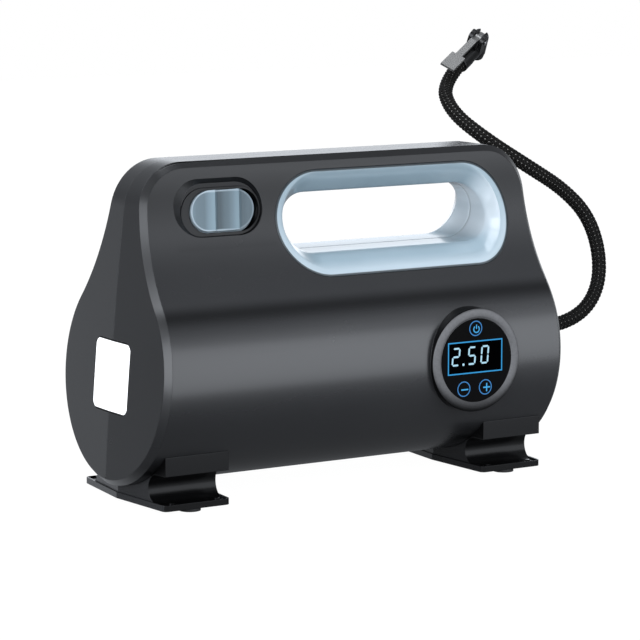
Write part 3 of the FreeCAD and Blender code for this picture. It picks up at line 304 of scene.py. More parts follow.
def ring_metal(name, dark, light):
    """Satin metal on the ring's front, shaded nearly flat; painted shade darkens its bottom and paints its wall
    black.
    """
    material = metal(name, dark, light, 0.34, (1.0, 1.0, 1.0), strength=0.02, uneven=0.03)
    tree = material.node_tree
    bsdf = tree.nodes["Principled BSDF"]
    low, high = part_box("display_bezel")
    front = slope(tree, normal_parts(tree)["Y"], *RING_FRONT_NORMAL)
    bottom = slope(tree, place_parts(tree)["Z"], low.z, (low.z + high.z) / 2 - RING_BOTTOM_DROP,
                   RING_METAL_BOTTOM_SHADE, 1.0)
    # Painted shade: black on the wall, darker towards the bottom
    shade = product(tree, span(tree, front, RING_METAL_WALL_SHADE, 1.0), bottom)
    tree.links.new(tinted(tree, base_colour(bsdf), shade), bsdf.inputs["Base Color"])
    flatter = tree.nodes.new("ShaderNodeVectorMath")
    flatter.operation = "MULTIPLY"
    flatter.inputs[1].default_value = RING_FLATTEN
    tree.links.new(tree.nodes.new("ShaderNodeNewGeometry").outputs["Normal"], flatter.inputs[0])
    unit = tree.nodes.new("ShaderNodeVectorMath")
    unit.operation = "NORMALIZE"
    tree.links.new(flatter.outputs["Vector"], unit.inputs[0])
    tree.links.new(unit.outputs["Vector"], bsdf.inputs["Normal"])
    tree.links.new(front, bsdf.inputs["Metallic"])
    tree.links.new(span(tree, front, RING_WALL_SPECULAR, RING_FRONT_SPECULAR), bsdf.inputs["Specular IOR Level"])
    return material


# Where painted shade darkens the housing's colour and gloss: at the waist crease, along the top, round the ring's
# wall, in the switch's recess and beside the feet. Each bound is (what it is measured on, where nothing, where all of
# it)
WAIST = 0.1035
FRONTAL = ("facing", 0.4, 0.6)
WAIST_SHADE_BOUNDS = (("Z", WAIST - 0.008, WAIST), ("Z", WAIST + 0.0065, WAIST), FRONTAL)
TOP_SHADE, TOP_SHADE_BOUNDS = 0.62, (("Z", 0.140, 0.166), FRONTAL)
RING_WALL_SHADE = 1.4
RING_WALL_SHADE_BOUNDS = (("ring", 0.036, 0.030), ("facing", 0.6, 0.3), ("Y", -0.045, -0.052))
POCKET_SHADE, POCKET_OUT, POCKET_IN, POCKET_FACING = 0.9, 0.007, 0.005, ("facing", 0.93, 0.85)
FOOT_SHADE, FOOT_START, FOOT_FULL, FOOT_PAST = 1.3, 0.014, 0.004, 0.01
FOOT_SHADE_BOUNDS = (("Z", 0.031, 0.020), ("facing", 0.42, 0.6))
DEEPEST_SHADE = 0.58


def housing_plastic(name, dark, light, rough, specular):
    """Satin plastic, with painted shade darkening it at the waist, along the top, round the ring and the switch and
    by the feet.
    """
    material = moulded(name, dark, light, rough, strength=0.008, specular=specular, edge=0.0005, uneven=0.01)
    tree = material.node_tree
    bsdf = tree.nodes["Principled BSDF"]
    parts = place_parts(tree)
    sources = {axis: parts[axis] for axis in "XYZ"}
    sources["facing"] = math_node(tree, "ABSOLUTE", normal_parts(tree)["Y"])
    low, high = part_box("display_bezel")
    middle = (low + high) / 2
    sources["ring"] = length_node(tree, minus(tree, parts["X"], middle.x), minus(tree, parts["Z"], middle.z))
    low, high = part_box("switch_bezel")
    middle = (low + high) / 2
    half = (high - low) / 2
    sources["across"] = away(tree, parts["X"], middle.x)
    sources["above"] = away(tree, parts["Z"], middle.z)
    pocket_shade_bounds = (("across", half.x + POCKET_OUT, half.x + POCKET_IN), ("above", half.z + POCKET_OUT, half.z + POCKET_IN),
              POCKET_FACING)
    # Painted shade: each mask darkens the colour and the gloss where shadow falls
    painted_shades = [
        within(tree, sources, 1.0, *WAIST_SHADE_BOUNDS),
        within(tree, sources, TOP_SHADE, *TOP_SHADE_BOUNDS),
        within(tree, sources, RING_WALL_SHADE, *RING_WALL_SHADE_BOUNDS),
        within(tree, sources, POCKET_SHADE, *pocket_shade_bounds),
    ]
    for foot in ("left_foot", "right_foot"):
        low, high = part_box(foot)
        painted_shades.append(within(tree, sources, FOOT_SHADE, *FOOT_SHADE_BOUNDS, ("X", low.x - FOOT_START, low.x - FOOT_FULL),
                             ("X", high.x, low.x + FOOT_PAST)))
    # The deepest painted shade darkens both the base colour and the specular
    unshaded = minus(tree, 1.0, product(tree, largest(tree, *painted_shades), DEEPEST_SHADE))
    tree.links.new(tinted(tree, base_colour(bsdf), unshaded), bsdf.inputs["Base Color"])
    tree.links.new(product(tree, unshaded, specular), bsdf.inputs["Specular IOR Level"])
    return material


LINER_COAT, LINER_SPECULAR, LINER_FLOOR_SPECULAR = 0.6, 0.5, 0.1
LINER_JOINT_OUT, LINER_JOINT_IN, LINER_JOINT_TONE = 0.0008, 0.0013, 0.12
# Painted light on the lower edge and on faces turned left, and painted shade on faces turned down
LINER_EDGE_OUT, LINER_EDGE_IN, LINER_EDGE_PAINTED_LIGHT = 0.002, 0.008, 0.4
LINER_UNDER_PAINTED_SHADE = 0.66
LINER_DOWN, LINER_LEFT, LINER_UP, LINER_FLOOR = (-0.2, -0.9), (-0.25, -0.9), (0.15, 0.5), (0.9, 0.98)


def liner_plastic(name, dark, light, pale):
    """Glossy grip liner with painted light, paler facing left and along its up-facing lower edge, and painted shade,
    darker facing down, with a dark joint round it.
    """
    material = moulded(name, dark, light, 0.11, grain=900.0, strength=0.0, coat=LINER_COAT, edge=0.003)
    tree = material.node_tree
    bsdf = tree.nodes["Principled BSDF"]
    low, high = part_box("front_grip_liner")
    radius = (high.z - low.z) / 2
    parts = place_parts(tree)
    normal = normal_parts(tree)
    across = away(tree, parts["X"], (low.x + high.x) / 2)
    across = math_node(tree, "MAXIMUM", minus(tree, across, (high.x - low.x) / 2 - radius), 0.0)
    reach = length_node(tree, across, minus(tree, parts["Z"], (low.z + high.z) / 2))
    joint = slope(tree, reach, radius - LINER_JOINT_IN, radius - LINER_JOINT_OUT, 1.0, LINER_JOINT_TONE)
    # Painted shade where the liner faces down; painted light where it faces left and on its lower edge
    under = slope(tree, normal["Z"], *LINER_DOWN, 1.0, LINER_UNDER_PAINTED_SHADE)
    edge = product(tree, slope(tree, reach, radius - LINER_EDGE_IN, radius - LINER_EDGE_OUT),
                   slope(tree, normal["Z"], *LINER_UP, 0.0, LINER_EDGE_PAINTED_LIGHT))
    left = slope(tree, normal["X"], *LINER_LEFT)
    colour = tinted(tree, base_colour(bsdf), product(tree, joint, under))
    painted_light_share = product(tree, largest(tree, edge, left), joint)
    tree.links.new(mixed(tree, colour, (*pale, 1.0), painted_light_share), bsdf.inputs["Base Color"])
    off_floor = slope(tree, normal["Z"], *LINER_FLOOR, 1.0, 0.0)
    tree.links.new(product(tree, off_floor, joint, LINER_COAT), bsdf.inputs["Coat Weight"])
    tree.links.new(span(tree, off_floor, LINER_FLOOR_SPECULAR, LINER_SPECULAR), bsdf.inputs["Specular IOR Level"])
    return material


SLIDER_LEFT, SLIDER_WIDE, SLIDER_MIDDLE_Z, SLIDER_LEAN = -0.0865, 0.038, 0.155, 0.114
SLIDER_END, SLIDER_RIM_IN, SLIDER_RIM_OUT, SLIDER_RIM_DROP = 0.0107, 0.0013, 0.0006, 0.0006
SLIDER_RIM_HIGHLIGHT_COLOUR = (0.55, 0.66, 0.73, 1.0)
SLIDER_RIM_RIGHT, SLIDER_RIM_LEFT = 0.25, 0.85
# Painted shade and highlights along the slider, from its left end to its right, in place of the light on its hollows
# and ridges
SLIDER_PAINTED_SHADING = (
    (0.0, 0.80), (0.03, 0.76), (0.09, 0.62), (0.21, 0.58), (0.27, 0.82), (0.33, 0.97), (0.37, 0.97), (0.385, 0.66),
    (0.42, 0.36), (0.47, 0.32), (0.53, 0.44), (0.59, 0.50), (0.65, 0.66), (0.70, 0.84), (0.745, 0.86), (0.765, 0.68),
    (0.80, 0.44), (0.85, 0.40), (0.91, 0.44), (1.0, 0.38),
)


def slider_plastic(name, dark, light):
    """Glossy thumb slider with painted shading: each finger hollow goes from painted shade to a painted highlight on
    the ridge at its right, inside a thin painted highlight round its rim.
    """
    material = moulded(name, dark, light, 0.20, grain=1500.0, strength=0.02, specular=0.6, edge=0.0006)
    tree = material.node_tree
    bsdf = tree.nodes["Principled BSDF"]
    parts = place_parts(tree)
    lean = product(tree, minus(tree, parts["Z"], SLIDER_MIDDLE_Z), SLIDER_LEAN)
    along = minus(tree, minus(tree, parts["X"], lean), SLIDER_LEFT)
    along = math_node(tree, "DIVIDE", along, SLIDER_WIDE)
    stops = [(place, (tone, tone, tone)) for place, tone in SLIDER_PAINTED_SHADING]
    colour = tinted(tree, base_colour(bsdf), ramp(tree, along, stops))
    across = product(tree, away(tree, along, 0.5), SLIDER_WIDE)
    across = math_node(tree, "MAXIMUM", minus(tree, across, SLIDER_WIDE / 2 - SLIDER_END), 0.0)
    reach = length_node(tree, across, minus(tree, parts["Z"], SLIDER_MIDDLE_Z - SLIDER_RIM_DROP))
    # Painted highlight along the slider's rim, stronger at its left
    rim = product(tree, slope(tree, reach, SLIDER_END - SLIDER_RIM_IN, SLIDER_END - SLIDER_RIM_OUT),
                  slope(tree, along, 1.0, 0.2, SLIDER_RIM_RIGHT, SLIDER_RIM_LEFT))
    tree.links.new(mixed(tree, colour, SLIDER_RIM_HIGHLIGHT_COLOUR, rim), bsdf.inputs["Base Color"])
    return material


LEFT_FACE = -0.8
FOOT_PLATE_LOW, FOOT_PLATE_FADE, FOOT_PLATE_TONE = 0.0185, 0.0002, 0.18
# How much of the left faces' paleness the right foot gets; less, as painted shade
FOOT_RIGHT_SHADED_SHARE, FOOT_SIDE_SPECULAR, FOOT_MOTTLE = 0.25, 0.75, 0.04
FOOT_STRENGTH, FOOT_EDGE = 0.02, 0.0004


def foot_plastic(name, deep, pale, rough, specular):
    """Black; paler on the plate over the scoop and on the left faces, of which the left foot's are the palest, as the
    right foot's are darkened by painted shade.
    """
    material, tree, bsdf = shader(name)
    parts = place_parts(tree)
    side = math_node(tree, "LESS_THAN", normal_parts(tree)["X"], LEFT_FACE)
    above = slope(tree, parts["Z"], FOOT_PLATE_LOW - FOOT_PLATE_FADE, FOOT_PLATE_LOW + FOOT_PLATE_FADE)
    plate = product(tree, above, slope(tree, side, 0.6, 0.4), FOOT_PLATE_TONE)
    # Painted shade: the right foot's left faces get less of the paleness
    left = product(tree, side, slope(tree, parts["X"], 0.01, -0.01, FOOT_RIGHT_SHADED_SHARE, 1.0),
                   slope(tree, above, 0.6, 0.4))
    mottle = span(tree, noise(tree, MOTTLE, MOTTLE_DETAIL), -FOOT_MOTTLE, FOOT_MOTTLE)
    tone = math_node(tree, "ADD", largest(tree, plate, left), mottle)
    tree.links.new(ramp(tree, tone, [(0.0, deep), (1.0, pale)]), bsdf.inputs["Base Color"])
    bsdf.inputs["Roughness"].default_value = rough
    tree.links.new(span(tree, left, specular, FOOT_SIDE_SPECULAR), bsdf.inputs["Specular IOR Level"])
    bump(tree, bsdf, noise(tree, FINE, FINE_DETAIL), FOOT_STRENGTH, PLASTIC_RELIEF, FOOT_EDGE)
    return material


LIT_GRAIN, LIT_DETAIL, LIT_UNEVEN, LIT_ROUGH = 240.0, 2.0, 0.93, 0.4


def glowing(name, colour):
    """A lit figure with a faint unevenness."""
    material, tree, bsdf = shader(name)
    shades = [(0.2, tuple(part * LIT_UNEVEN for part in colour)), (0.8, colour)]
    tree.links.new(ramp(tree, noise(tree, LIT_GRAIN, LIT_DETAIL), shades), bsdf.inputs["Emission Color"])
    bsdf.inputs["Base Color"].default_value = (0.002, 0.002, 0.002, 1.0)
    bsdf.inputs["Emission Strength"].default_value = 1.0
    bsdf.inputs["Roughness"].default_value = LIT_ROUGH
    bsdf.inputs["Specular IOR Level"].default_value = 0.02
    return material


LAMP_BORDER, LAMP_BORDER_FADE = 0.0003, 0.0006
LAMP_DARK = (0.01, 0.01, 0.01, 1.0)
LAMP_SHADES = [(0.2, (0.93, 0.94, 0.95)), (0.8, (0.97, 0.97, 0.97))]


def lamp_glow(name):
    """The lamp's face is lit white inside a thin dark border; its sides are dark."""
    material, tree, bsdf = shader(name)
    low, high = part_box("lamp_lens")
    middle = (low + high) / 2
    half = (high - low) / 2
    parts = place_parts(tree)
    inside = [math_node(tree, "LESS_THAN", normal_parts(tree)["X"], LEFT_FACE)]
    for axis, centre, reach in (("Y", middle.y, half.y), ("Z", middle.z, half.z)):
        inside.append(slope(tree, away(tree, parts[axis], centre), reach - LAMP_BORDER, reach - LAMP_BORDER_FADE))
    lit = product(tree, *inside)
    colour = ramp(tree, noise(tree, LIT_GRAIN, LIT_DETAIL), LAMP_SHADES)
    tree.links.new(mixed(tree, LAMP_DARK, colour, lit), bsdf.inputs["Base Color"])
    tree.links.new(colour, bsdf.inputs["Emission Color"])
    tree.links.new(lit, bsdf.inputs["Emission Strength"])
    bsdf.inputs["Roughness"].default_value = LIT_ROUGH
    return material


YARN_STRETCH = (3.0, 14.0, 1.0)
# Painted shade low on the hose and painted light high on it
YARN_LOW, YARN_HIGH, YARN_LOW_PAINTED_SHADE, YARN_HIGH_PAINTED_LIGHT = 0.06, 0.20, 0.5, 1.25
YARN_ROUGH, YARN_SPECULAR, YARN_STRENGTH = 0.5, 0.15, 0.5


def yarn(name, stops):
    """Braided yarn: filaments along each strand, uneven in tone, with painted shade low on the hose and painted light
    near its top.
    """
    material, tree, bsdf = shader(name)
    place = tree.nodes.new("ShaderNodeTexCoord")
    mapping = tree.nodes.new("ShaderNodeMapping")
    mapping.inputs["Scale"].default_value = YARN_STRETCH
    tree.links.new(place.outputs["UV"], mapping.inputs["Vector"])
    field = tree.nodes.new("ShaderNodeTexNoise")
    field.inputs["Scale"].default_value = 1.0
    field.inputs["Detail"].default_value = 2.0
    tree.links.new(mapping.outputs["Vector"], field.inputs["Vector"])
    # Painted shade and light by height along the hose
    tone = slope(tree, place_parts(tree)["Z"], YARN_LOW, YARN_HIGH, YARN_LOW_PAINTED_SHADE, YARN_HIGH_PAINTED_LIGHT)
    tree.links.new(tinted(tree, ramp(tree, field.outputs["Fac"], stops), tone), bsdf.inputs["Base Color"])
    bsdf.inputs["Roughness"].default_value = YARN_ROUGH
    bsdf.inputs["Specular IOR Level"].default_value = YARN_SPECULAR
    bump(tree, bsdf, field.outputs["Fac"], YARN_STRENGTH, YARN_RELIEF)
    return material


# Each material: its darker and lighter colour, then its roughness, and a metal's stretch of grain

HOUSING = housing_plastic("housing", (0.0215, 0.022, 0.0237), (0.0235, 0.024, 0.0255), 0.27, specular=0.75)
RECESS = moulded("recess_plastic", (0.014, 0.0143, 0.015), (0.018, 0.0183, 0.019), 0.3, strength=0.02,
                 specular=0.45, edge=0.0005)
# pale is the colour of the liner's painted light
LINER = liner_plastic("liner", (0.36, 0.475, 0.54), (0.40, 0.515, 0.585), pale=(0.76, 0.84, 0.89))
CHUCK = moulded("chuck_plastic", (0.004, 0.004, 0.004), (0.007, 0.007, 0.0068), 0.25, strength=0.0)
BLACK = moulded("black_plastic", (0.0025, 0.0025, 0.0027), (0.004, 0.004, 0.0042), 0.5, grain=1800.0,
                strength=0.1, specular=0.12)
FOOT = foot_plastic("foot_plastic", (0.003, 0.003, 0.0032), (0.033, 0.0335, 0.036), 0.26, specular=0.22)
INNER = moulded("inner_plastic", (0.03, 0.03, 0.032), (0.045, 0.045, 0.047), 0.5)
RUBBER = moulded("rubber", (0.012, 0.012, 0.012), (0.022, 0.022, 0.022), 0.7, grain=1200.0, strength=0.3)
SLIDER = slider_plastic("slider", (0.255, 0.355, 0.415), (0.285, 0.395, 0.46))
RING = ring_metal("ring_metal", (0.085, 0.085, 0.087), (0.115, 0.115, 0.118))
STEEL = metal("steel", (0.40, 0.40, 0.41), (0.56, 0.56, 0.57), 0.30, (0.1, 1.0, 1.0))
LEVER = metal("lever_metal", (0.40, 0.395, 0.385), (0.45, 0.445, 0.43), 0.34, (0.06, 0.02, 0.06), strength=0.0,
              uneven=0.01)
ALLOY = metal("cast_alloy", (0.45, 0.46, 0.47), (0.60, 0.61, 0.62), 0.5, (1.0, 1.0, 1.0), strength=0.4)
BRASS = metal("brass", (0.50, 0.36, 0.14), (0.68, 0.50, 0.22), 0.28, (1.0, 1.0, 0.2))
NYLON = moulded("nylon", (0.62, 0.60, 0.52), (0.70, 0.68, 0.60), 0.45)
BOARD = moulded("circuit_board", (0.004, 0.06, 0.02), (0.01, 0.10, 0.035), 0.4, grain=700.0, strength=0.2)
CELL = moulded("cell_wrap", (0.01, 0.10, 0.05), (0.02, 0.15, 0.07), 0.25)
COVER = moulded("display_cover", (0.003, 0.003, 0.0031), (0.004, 0.004, 0.0042), 0.25, grain=300.0,
                strength=0.0, specular=0.012)
LAMP = lamp_glow("lamp_glow")
WINDOW = moulded("display_window", (0.0002, 0.0002, 0.0003), (0.0004, 0.0004, 0.0006), 0.3, grain=300.0,
                 strength=0.0, specular=0.001)
FRAME_BLUE = glowing("frame_blue", (0.04, 0.34, 0.72))
RING_BLUE = glowing("ring_blue", (0.06, 0.25, 0.60))
SIGN_BLUE = glowing("sign_blue", (0.07, 0.43, 0.85))
CYAN = glowing("figure_cyan", (0.48, 0.78, 0.95))
BRAID = yarn("braid", [(0.35, (0.0022, 0.0020, 0.0017)), (0.6, (0.007, 0.0063, 0.0055)),
                       (0.8, (0.030, 0.027, 0.023))])
# Pale yarn colours for the braid's painted glints
GLINT_YARN = yarn("braid_glint_yarn", [(0.3, (0.06, 0.058, 0.054)), (0.5, (0.28, 0.27, 0.25)), (0.7, (0.62, 0.61, 0.58))])

NODE_MATERIALS = {
    "front_shell": HOUSING, "rear_shell": HOUSING, "switch_bezel": RECESS,
    "front_grip_liner": LINER, "rear_grip_liner": LINER,
    "left_foot": FOOT, "right_foot": FOOT, "foot_pads": RUBBER,
    "display_bezel": RING, "display_lens": COVER, "rear_vent": BLACK, "lamp_lens": LAMP,
    "switch_slider": SLIDER, "hose_gland": RUBBER, "hose_ferrule": CHUCK, "chuck_body": CHUCK,
    "chuck_nozzle": CHUCK, "chuck_seal": RUBBER, "chuck_lever": LEVER,
    "display_board": BOARD, "lamp_board": BOARD, "main_board": BOARD, "battery_cells": CELL,
    "battery_contacts": BRASS, "drive_pinion": BRASS, "crank_bush": BRASS, "hose_socket": BRASS,
    "valve_depressor": BRASS, "crank_gear": NYLON, "pump_frame": ALLOY, "pump_cylinder": ALLOY,
    "cylinder_head": ALLOY, "piston_rod": ALLOY, "air_tube": RUBBER, "piston_cup": RUBBER,
    "switch_body": INNER, "cooling_fan": INNER, "battery_holder": INNER,
}

for label, node in nodes.items():
    dress(node, NODE_MATERIALS.get(label, STEEL))


# Hose: the same points as the solid's route, in metres

HOSE_POINTS = [
    (0.149, 0.0, 0.0716),
    (0.165, 0.0, 0.0716),
    (0.186, 0.001, 0.0786),
    (0.202, 0.009, 0.0926),
    (0.208, 0.018, 0.1126),
    (0.203, 0.024, 0.1326),
    (0.1875, 0.0275, 0.1481),
    (0.161, 0.0215, 0.1616),
    (0.137, 0.033, 0.1786),
    (0.129, 0.058, 0.1936),
    (0.1405, 0.084, 0.2081),
    (0.1625, 0.0925, 0.2211),
]
HOSE_DIAMETER = 0.0084
LINE_RESOLUTION, LINE_STEP = 24, 0.0005


def spline_line(name, points, resolution):
    """Points read from the smooth NURBS line through a route."""
    curve = bpy.data.curves.new(name, "CURVE")
    curve.dimensions = "3D"
    curve.resolution_u = resolution
    spline = curve.splines.new("NURBS")
    spline.points.add(len(points) - 1)
    for place, point in zip(spline.points, points):
        place.co = (*point, 1.0)
    spline.order_u = 3
    spline.use_endpoint_u = True
    holder = link(bpy.data.objects.new(name, curve))
    bpy.context.view_layer.update()
    mesh = bpy.data.meshes.new_from_object(holder)
    line = [vertex.co.copy() for vertex in mesh.vertices]
    bpy.data.objects.remove(holder)
    bpy.data.meshes.remove(mesh)
    return line


def even_line(line, step):
    """The same line with points at even distances."""
    reach = [0.0]
    for start, end in zip(line, line[1:]):
        reach.append(reach[-1] + (end - start).length)
    count = max(2, round(reach[-1] / step))
    result = []
    index = 0
    for number in range(count + 1):
        target = reach[-1] * number / count
        while index < len(line) - 2 and reach[index + 1] < target:
            index += 1
        part = (target - reach[index]) / (reach[index + 1] - reach[index])
        result.append(line[index].lerp(line[index + 1], part))
    return result, reach[-1]


def travel_frames(line):
    """A frame carried along the line without twist: (point, side, up)."""
    frames = []
    side = None
    for index, point in enumerate(line):
        before = line[max(index - 1, 0)]
        after = line[min(index + 1, len(line) - 1)]
        way = (after - before).normalized()
        if side is None:
            side = way.orthogonal().normalized()
        side = (side - way * side.dot(way)).normalized()
        frames.append((point, side, way.cross(side)))
    return frames


STRANDS = 9
BRAID_PITCH = 0.024
STRAND_HALF = 0.00062
STRAND_THICK = 0.00034
WEAVE_RISE, WEAVE_FLAT = 0.00026, 1.6
BRAID_RADIUS = HOSE_DIAMETER / 2 - WEAVE_RISE - STRAND_THICK
# Grey yarns under the braid, whose pale dots in its gaps are painted highlights in place of glints on the crossings
GLINT_YARN_HALF, GLINT_YARN_DROP, GLINT_YARN_THICK = 0.0006, 0.0002, 0.00015
CORE_DROP, CORE_EVERY, CORE_SIDES = 0.00022, 4, 24
# A yarn's section: place across it and height
ACROSS = ((-1.0, 0.0), (-0.55, 1.0), (0.55, 1.0), (1.0, 0.0))
# The pattern's shift from one place to the next: along a yarn, across it and between yarns
MARK_ALONG, MARK_ACROSS, MARK_YARN = 0.42, 0.3, 7.3


def strand_points(frames, step, way, phase):
    """One flat strand, over and under those that go round the other way."""
    points = []
    tilt = way * math.atan2(2 * math.pi * BRAID_RADIUS, BRAID_PITCH)
    for index, (point, side, up) in enumerate(frames):
        distance = index * step
        turn = phase + way * 2 * math.pi * distance / BRAID_PITCH
        weave = math.cos(2 * math.pi * STRANDS * distance / BRAID_PITCH)
        rise = BRAID_RADIUS + WEAVE_RISE * way * max(-1.0, min(1.0, WEAVE_FLAT * weave))
        forward = side.cross(up)
        for part, high in ACROSS:
            angle = turn + part * STRAND_HALF * math.cos(tilt) / BRAID_RADIUS
            out = side * math.cos(angle) + up * math.sin(angle)
            ahead = -part * STRAND_HALF * math.sin(tilt)
            points.append(point + out * (rise + STRAND_THICK * high) + forward * ahead)
    return points


def glint_yarn_points(frames, phase):
    """One grey yarn along the hose, seen only in the gaps of the braid as painted glints."""
    points = []
    for point, side, up in frames:
        for part, high in ACROSS:
            angle = phase + part * GLINT_YARN_HALF / BRAID_RADIUS
            out = side * math.cos(angle) + up * math.sin(angle)
            points.append(point + out * (BRAID_RADIUS - GLINT_YARN_DROP + GLINT_YARN_THICK * high))
    return points


def ribbon_mesh(name, ribbons):
    """Flat yarns as one mesh, each with its own stretch of the pattern."""
    points = []
    faces = []
    marks = []
    wide = len(ACROSS)
    for number, ribbon in enumerate(ribbons):
        first = len(points)
        points += ribbon
        for index in range(len(ribbon)):
            marks.append((MARK_ALONG * (index // wide) + number * MARK_YARN, index % wide * MARK_ACROSS + number))
        for row in range(len(ribbon) // wide - 1):
            for column in range(wide - 1):
                corner = first + row * wide + column
                faces.append((corner, corner + 1, corner + 1 + wide, corner + wide))
    obj = mesh_object(name, points, faces)
    layer = obj.data.uv_layers.new(name="UVMap")
    for loop in obj.data.loops:
        layer.data[loop.index].uv = marks[loop.vertex_index]
    return obj


def braided_hose():
    """A sleeve of flat strands woven round the hose, over grey yarns that run along it and show in its gaps as
    painted glints.
    """
    line, length = even_line(spline_line("hose_line", HOSE_POINTS, LINE_RESOLUTION), LINE_STEP)
    frames = travel_frames(line)
    step = length / (len(frames) - 1)
    strands = []
    glint_yarns = []
    for number in range(STRANDS):
        phase = 2 * math.pi * number / STRANDS
        strands.append(strand_points(frames, step, 1, phase))
        strands.append(strand_points(frames, step, -1, phase))
        glint_yarns.append(glint_yarn_points(frames, phase))
    braid = ribbon_mesh("hose_braid", strands)
    glint_yarn = ribbon_mesh("hose_glint_yarn", glint_yarns)
    core = tube_mesh("hose_core", frames[::CORE_EVERY], BRAID_RADIUS - CORE_DROP, CORE_SIDES)
    return braid, glint_yarn, core, line[::CORE_EVERY], length


def tube_mesh(name, frames, radius, count):
    """A closed tube round the line."""
    points = []
    faces = []
    for point, side, up in frames:
        for number in range(count):
            angle = 2 * math.pi * number / count
            points.append(point + side * radius * math.cos(angle) + up * radius * math.sin(angle))
    for row in range(len(frames) - 1):
        for number in range(count):
            first = row * count + number
            second = row * count + (number + 1) % count
            faces.append((first, second, second + count, first + count))
    last = (len(frames) - 1) * count
    faces.append(tuple(range(count - 1, -1, -1)))
    faces.append(tuple(range(last, last + count)))
    return mesh_object(name, points, faces)


def add_hose():
    """The braided hose in place of the plain one."""
    braid, glint_yarn, core, path, length = braided_hose()
    dress(braid, BRAID, "braid")
    dress(glint_yarn, GLINT_YARN, "braid")
    dress(core, RUBBER, "braid")
    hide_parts("air_hose")


add_camera()
add_hose()


# Display figures, drawn on the cover glass. Places are in millimetres from its middle

FRAME_LEFT, FRAME_RIGHT, FRAME_LOW, FRAME_HIGH = -18.4, 16.6, -6.7, 10.5
FRAME_HALF = 0.34
KEY_RADIUS = 3.95
KEY_HALF = 0.27
POWER_KEY = (-0.7, 17.6)
MINUS_KEY = (-8.2, -15.2)
PLUS_KEY = (5.9, -15.2)
MINUS_SIGN = (-7.6, -15.6)
PLUS_SIGN = (6.8, -15.4)
POWER_SIGN = (-0.2, 17.3)
SIGN_REACH = 2.3
SIGN_HALF = 0.38
POWER_RADIUS, POWER_HALF, POWER_DROP, POWER_START, POWER_SWEEP = 1.8, 0.32, 0.2, 125.0, 290.0
DIGITS = (("2", -15.9), ("5", -5.5), ("0", 2.9))
DIGIT_LOW, DIGIT_WIDE, DIGIT_HIGH = -1.75, 4.2, 9.1
DIGIT_HALF = 0.50
DIGIT_GAP = 0.16
DIGIT_SLANT = 0.08
DOT = (-8.6, -1.7)
DOT_RADIUS = 0.72
# How far the window and the figures lie over the cover, in metres
WINDOW_LIFT, FIGURE_LIFT = 0.00002, 0.00004
ARC_PARTS, DISC_PARTS = 64, 32
SEGMENTS = {"2": "abged", "5": "afgcd", "0": "abcdef"}
SEGMENT_ENDS = {
    "a": ((0, 1), (1, 1)), "b": ((1, 1), (1, 0.5)), "c": ((1, 0.5), (1, 0)), "d": ((0, 0), (1, 0)),
    "e": ((0, 0.5), (0, 0)), "f": ((0, 1), (0, 0.5)), "g": ((0, 0.5), (1, 0.5)),
}


class Figure:
    """Flat shapes in the display's plane that become one mesh; lift is how far they lie over the cover."""

    def __init__(self, lift):
        low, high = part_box("display_lens")
        self.y = low.y - lift
        self.middle = Vector(((low.x + high.x) / 2, (low.z + high.z) / 2))
        self.verts = []
        self.faces = []

    def polygon(self, places):
        """One face; the places are x and z from the cover's middle."""
        first = len(self.verts)
        for x, z in places:
            self.verts.append((self.middle.x + x * MM, self.y, self.middle.y + z * MM))
        self.faces.append(tuple(range(first, len(self.verts))))

    def bar(self, start, end, half):
        """A straight stroke with square ends."""
        start, end = Vector(start), Vector(end)
        way = (end - start).normalized()
        side = Vector((-way.y, way.x)) * half
        self.polygon((start - side, end - side, end + side, start + side))

    def pointed(self, start, end, half, gap):
        """A segment whose ends come to a point."""
        start, end = Vector(start), Vector(end)
        way = (end - start).normalized()
        side = Vector((-way.y, way.x)) * half
        start, end = start + way * gap, end - way * gap
        tip = way * half
        self.polygon((start, start + tip - side, end - tip - side, end, end - tip + side, start + tip + side))

    def arc(self, centre, radius, half, start=0.0, sweep=360.0):
        """A ring, or the part of one that starts and sweeps so many degrees."""
        for number in range(ARC_PARTS):
            corners = []
            for turn, reach in ((number, radius - half), (number, radius + half), (number + 1, radius + half),
                                (number + 1, radius - half)):
                angle = math.radians(start + sweep * turn / ARC_PARTS)
                corners.append((centre[0] + reach * math.cos(angle), centre[1] + reach * math.sin(angle)))
            self.polygon(corners)

    def disc(self, centre, radius):
        """A filled circle."""
        turns = [2 * math.pi * number / DISC_PARTS for number in range(DISC_PARTS)]
        self.polygon([(centre[0] + radius * math.cos(turn), centre[1] + radius * math.sin(turn)) for turn in turns])

    def finish(self, name, material):
        """The shapes so far as one dressed piece."""
        return dress(mesh_object(name, self.verts, self.faces, smooth=False), material, "display")


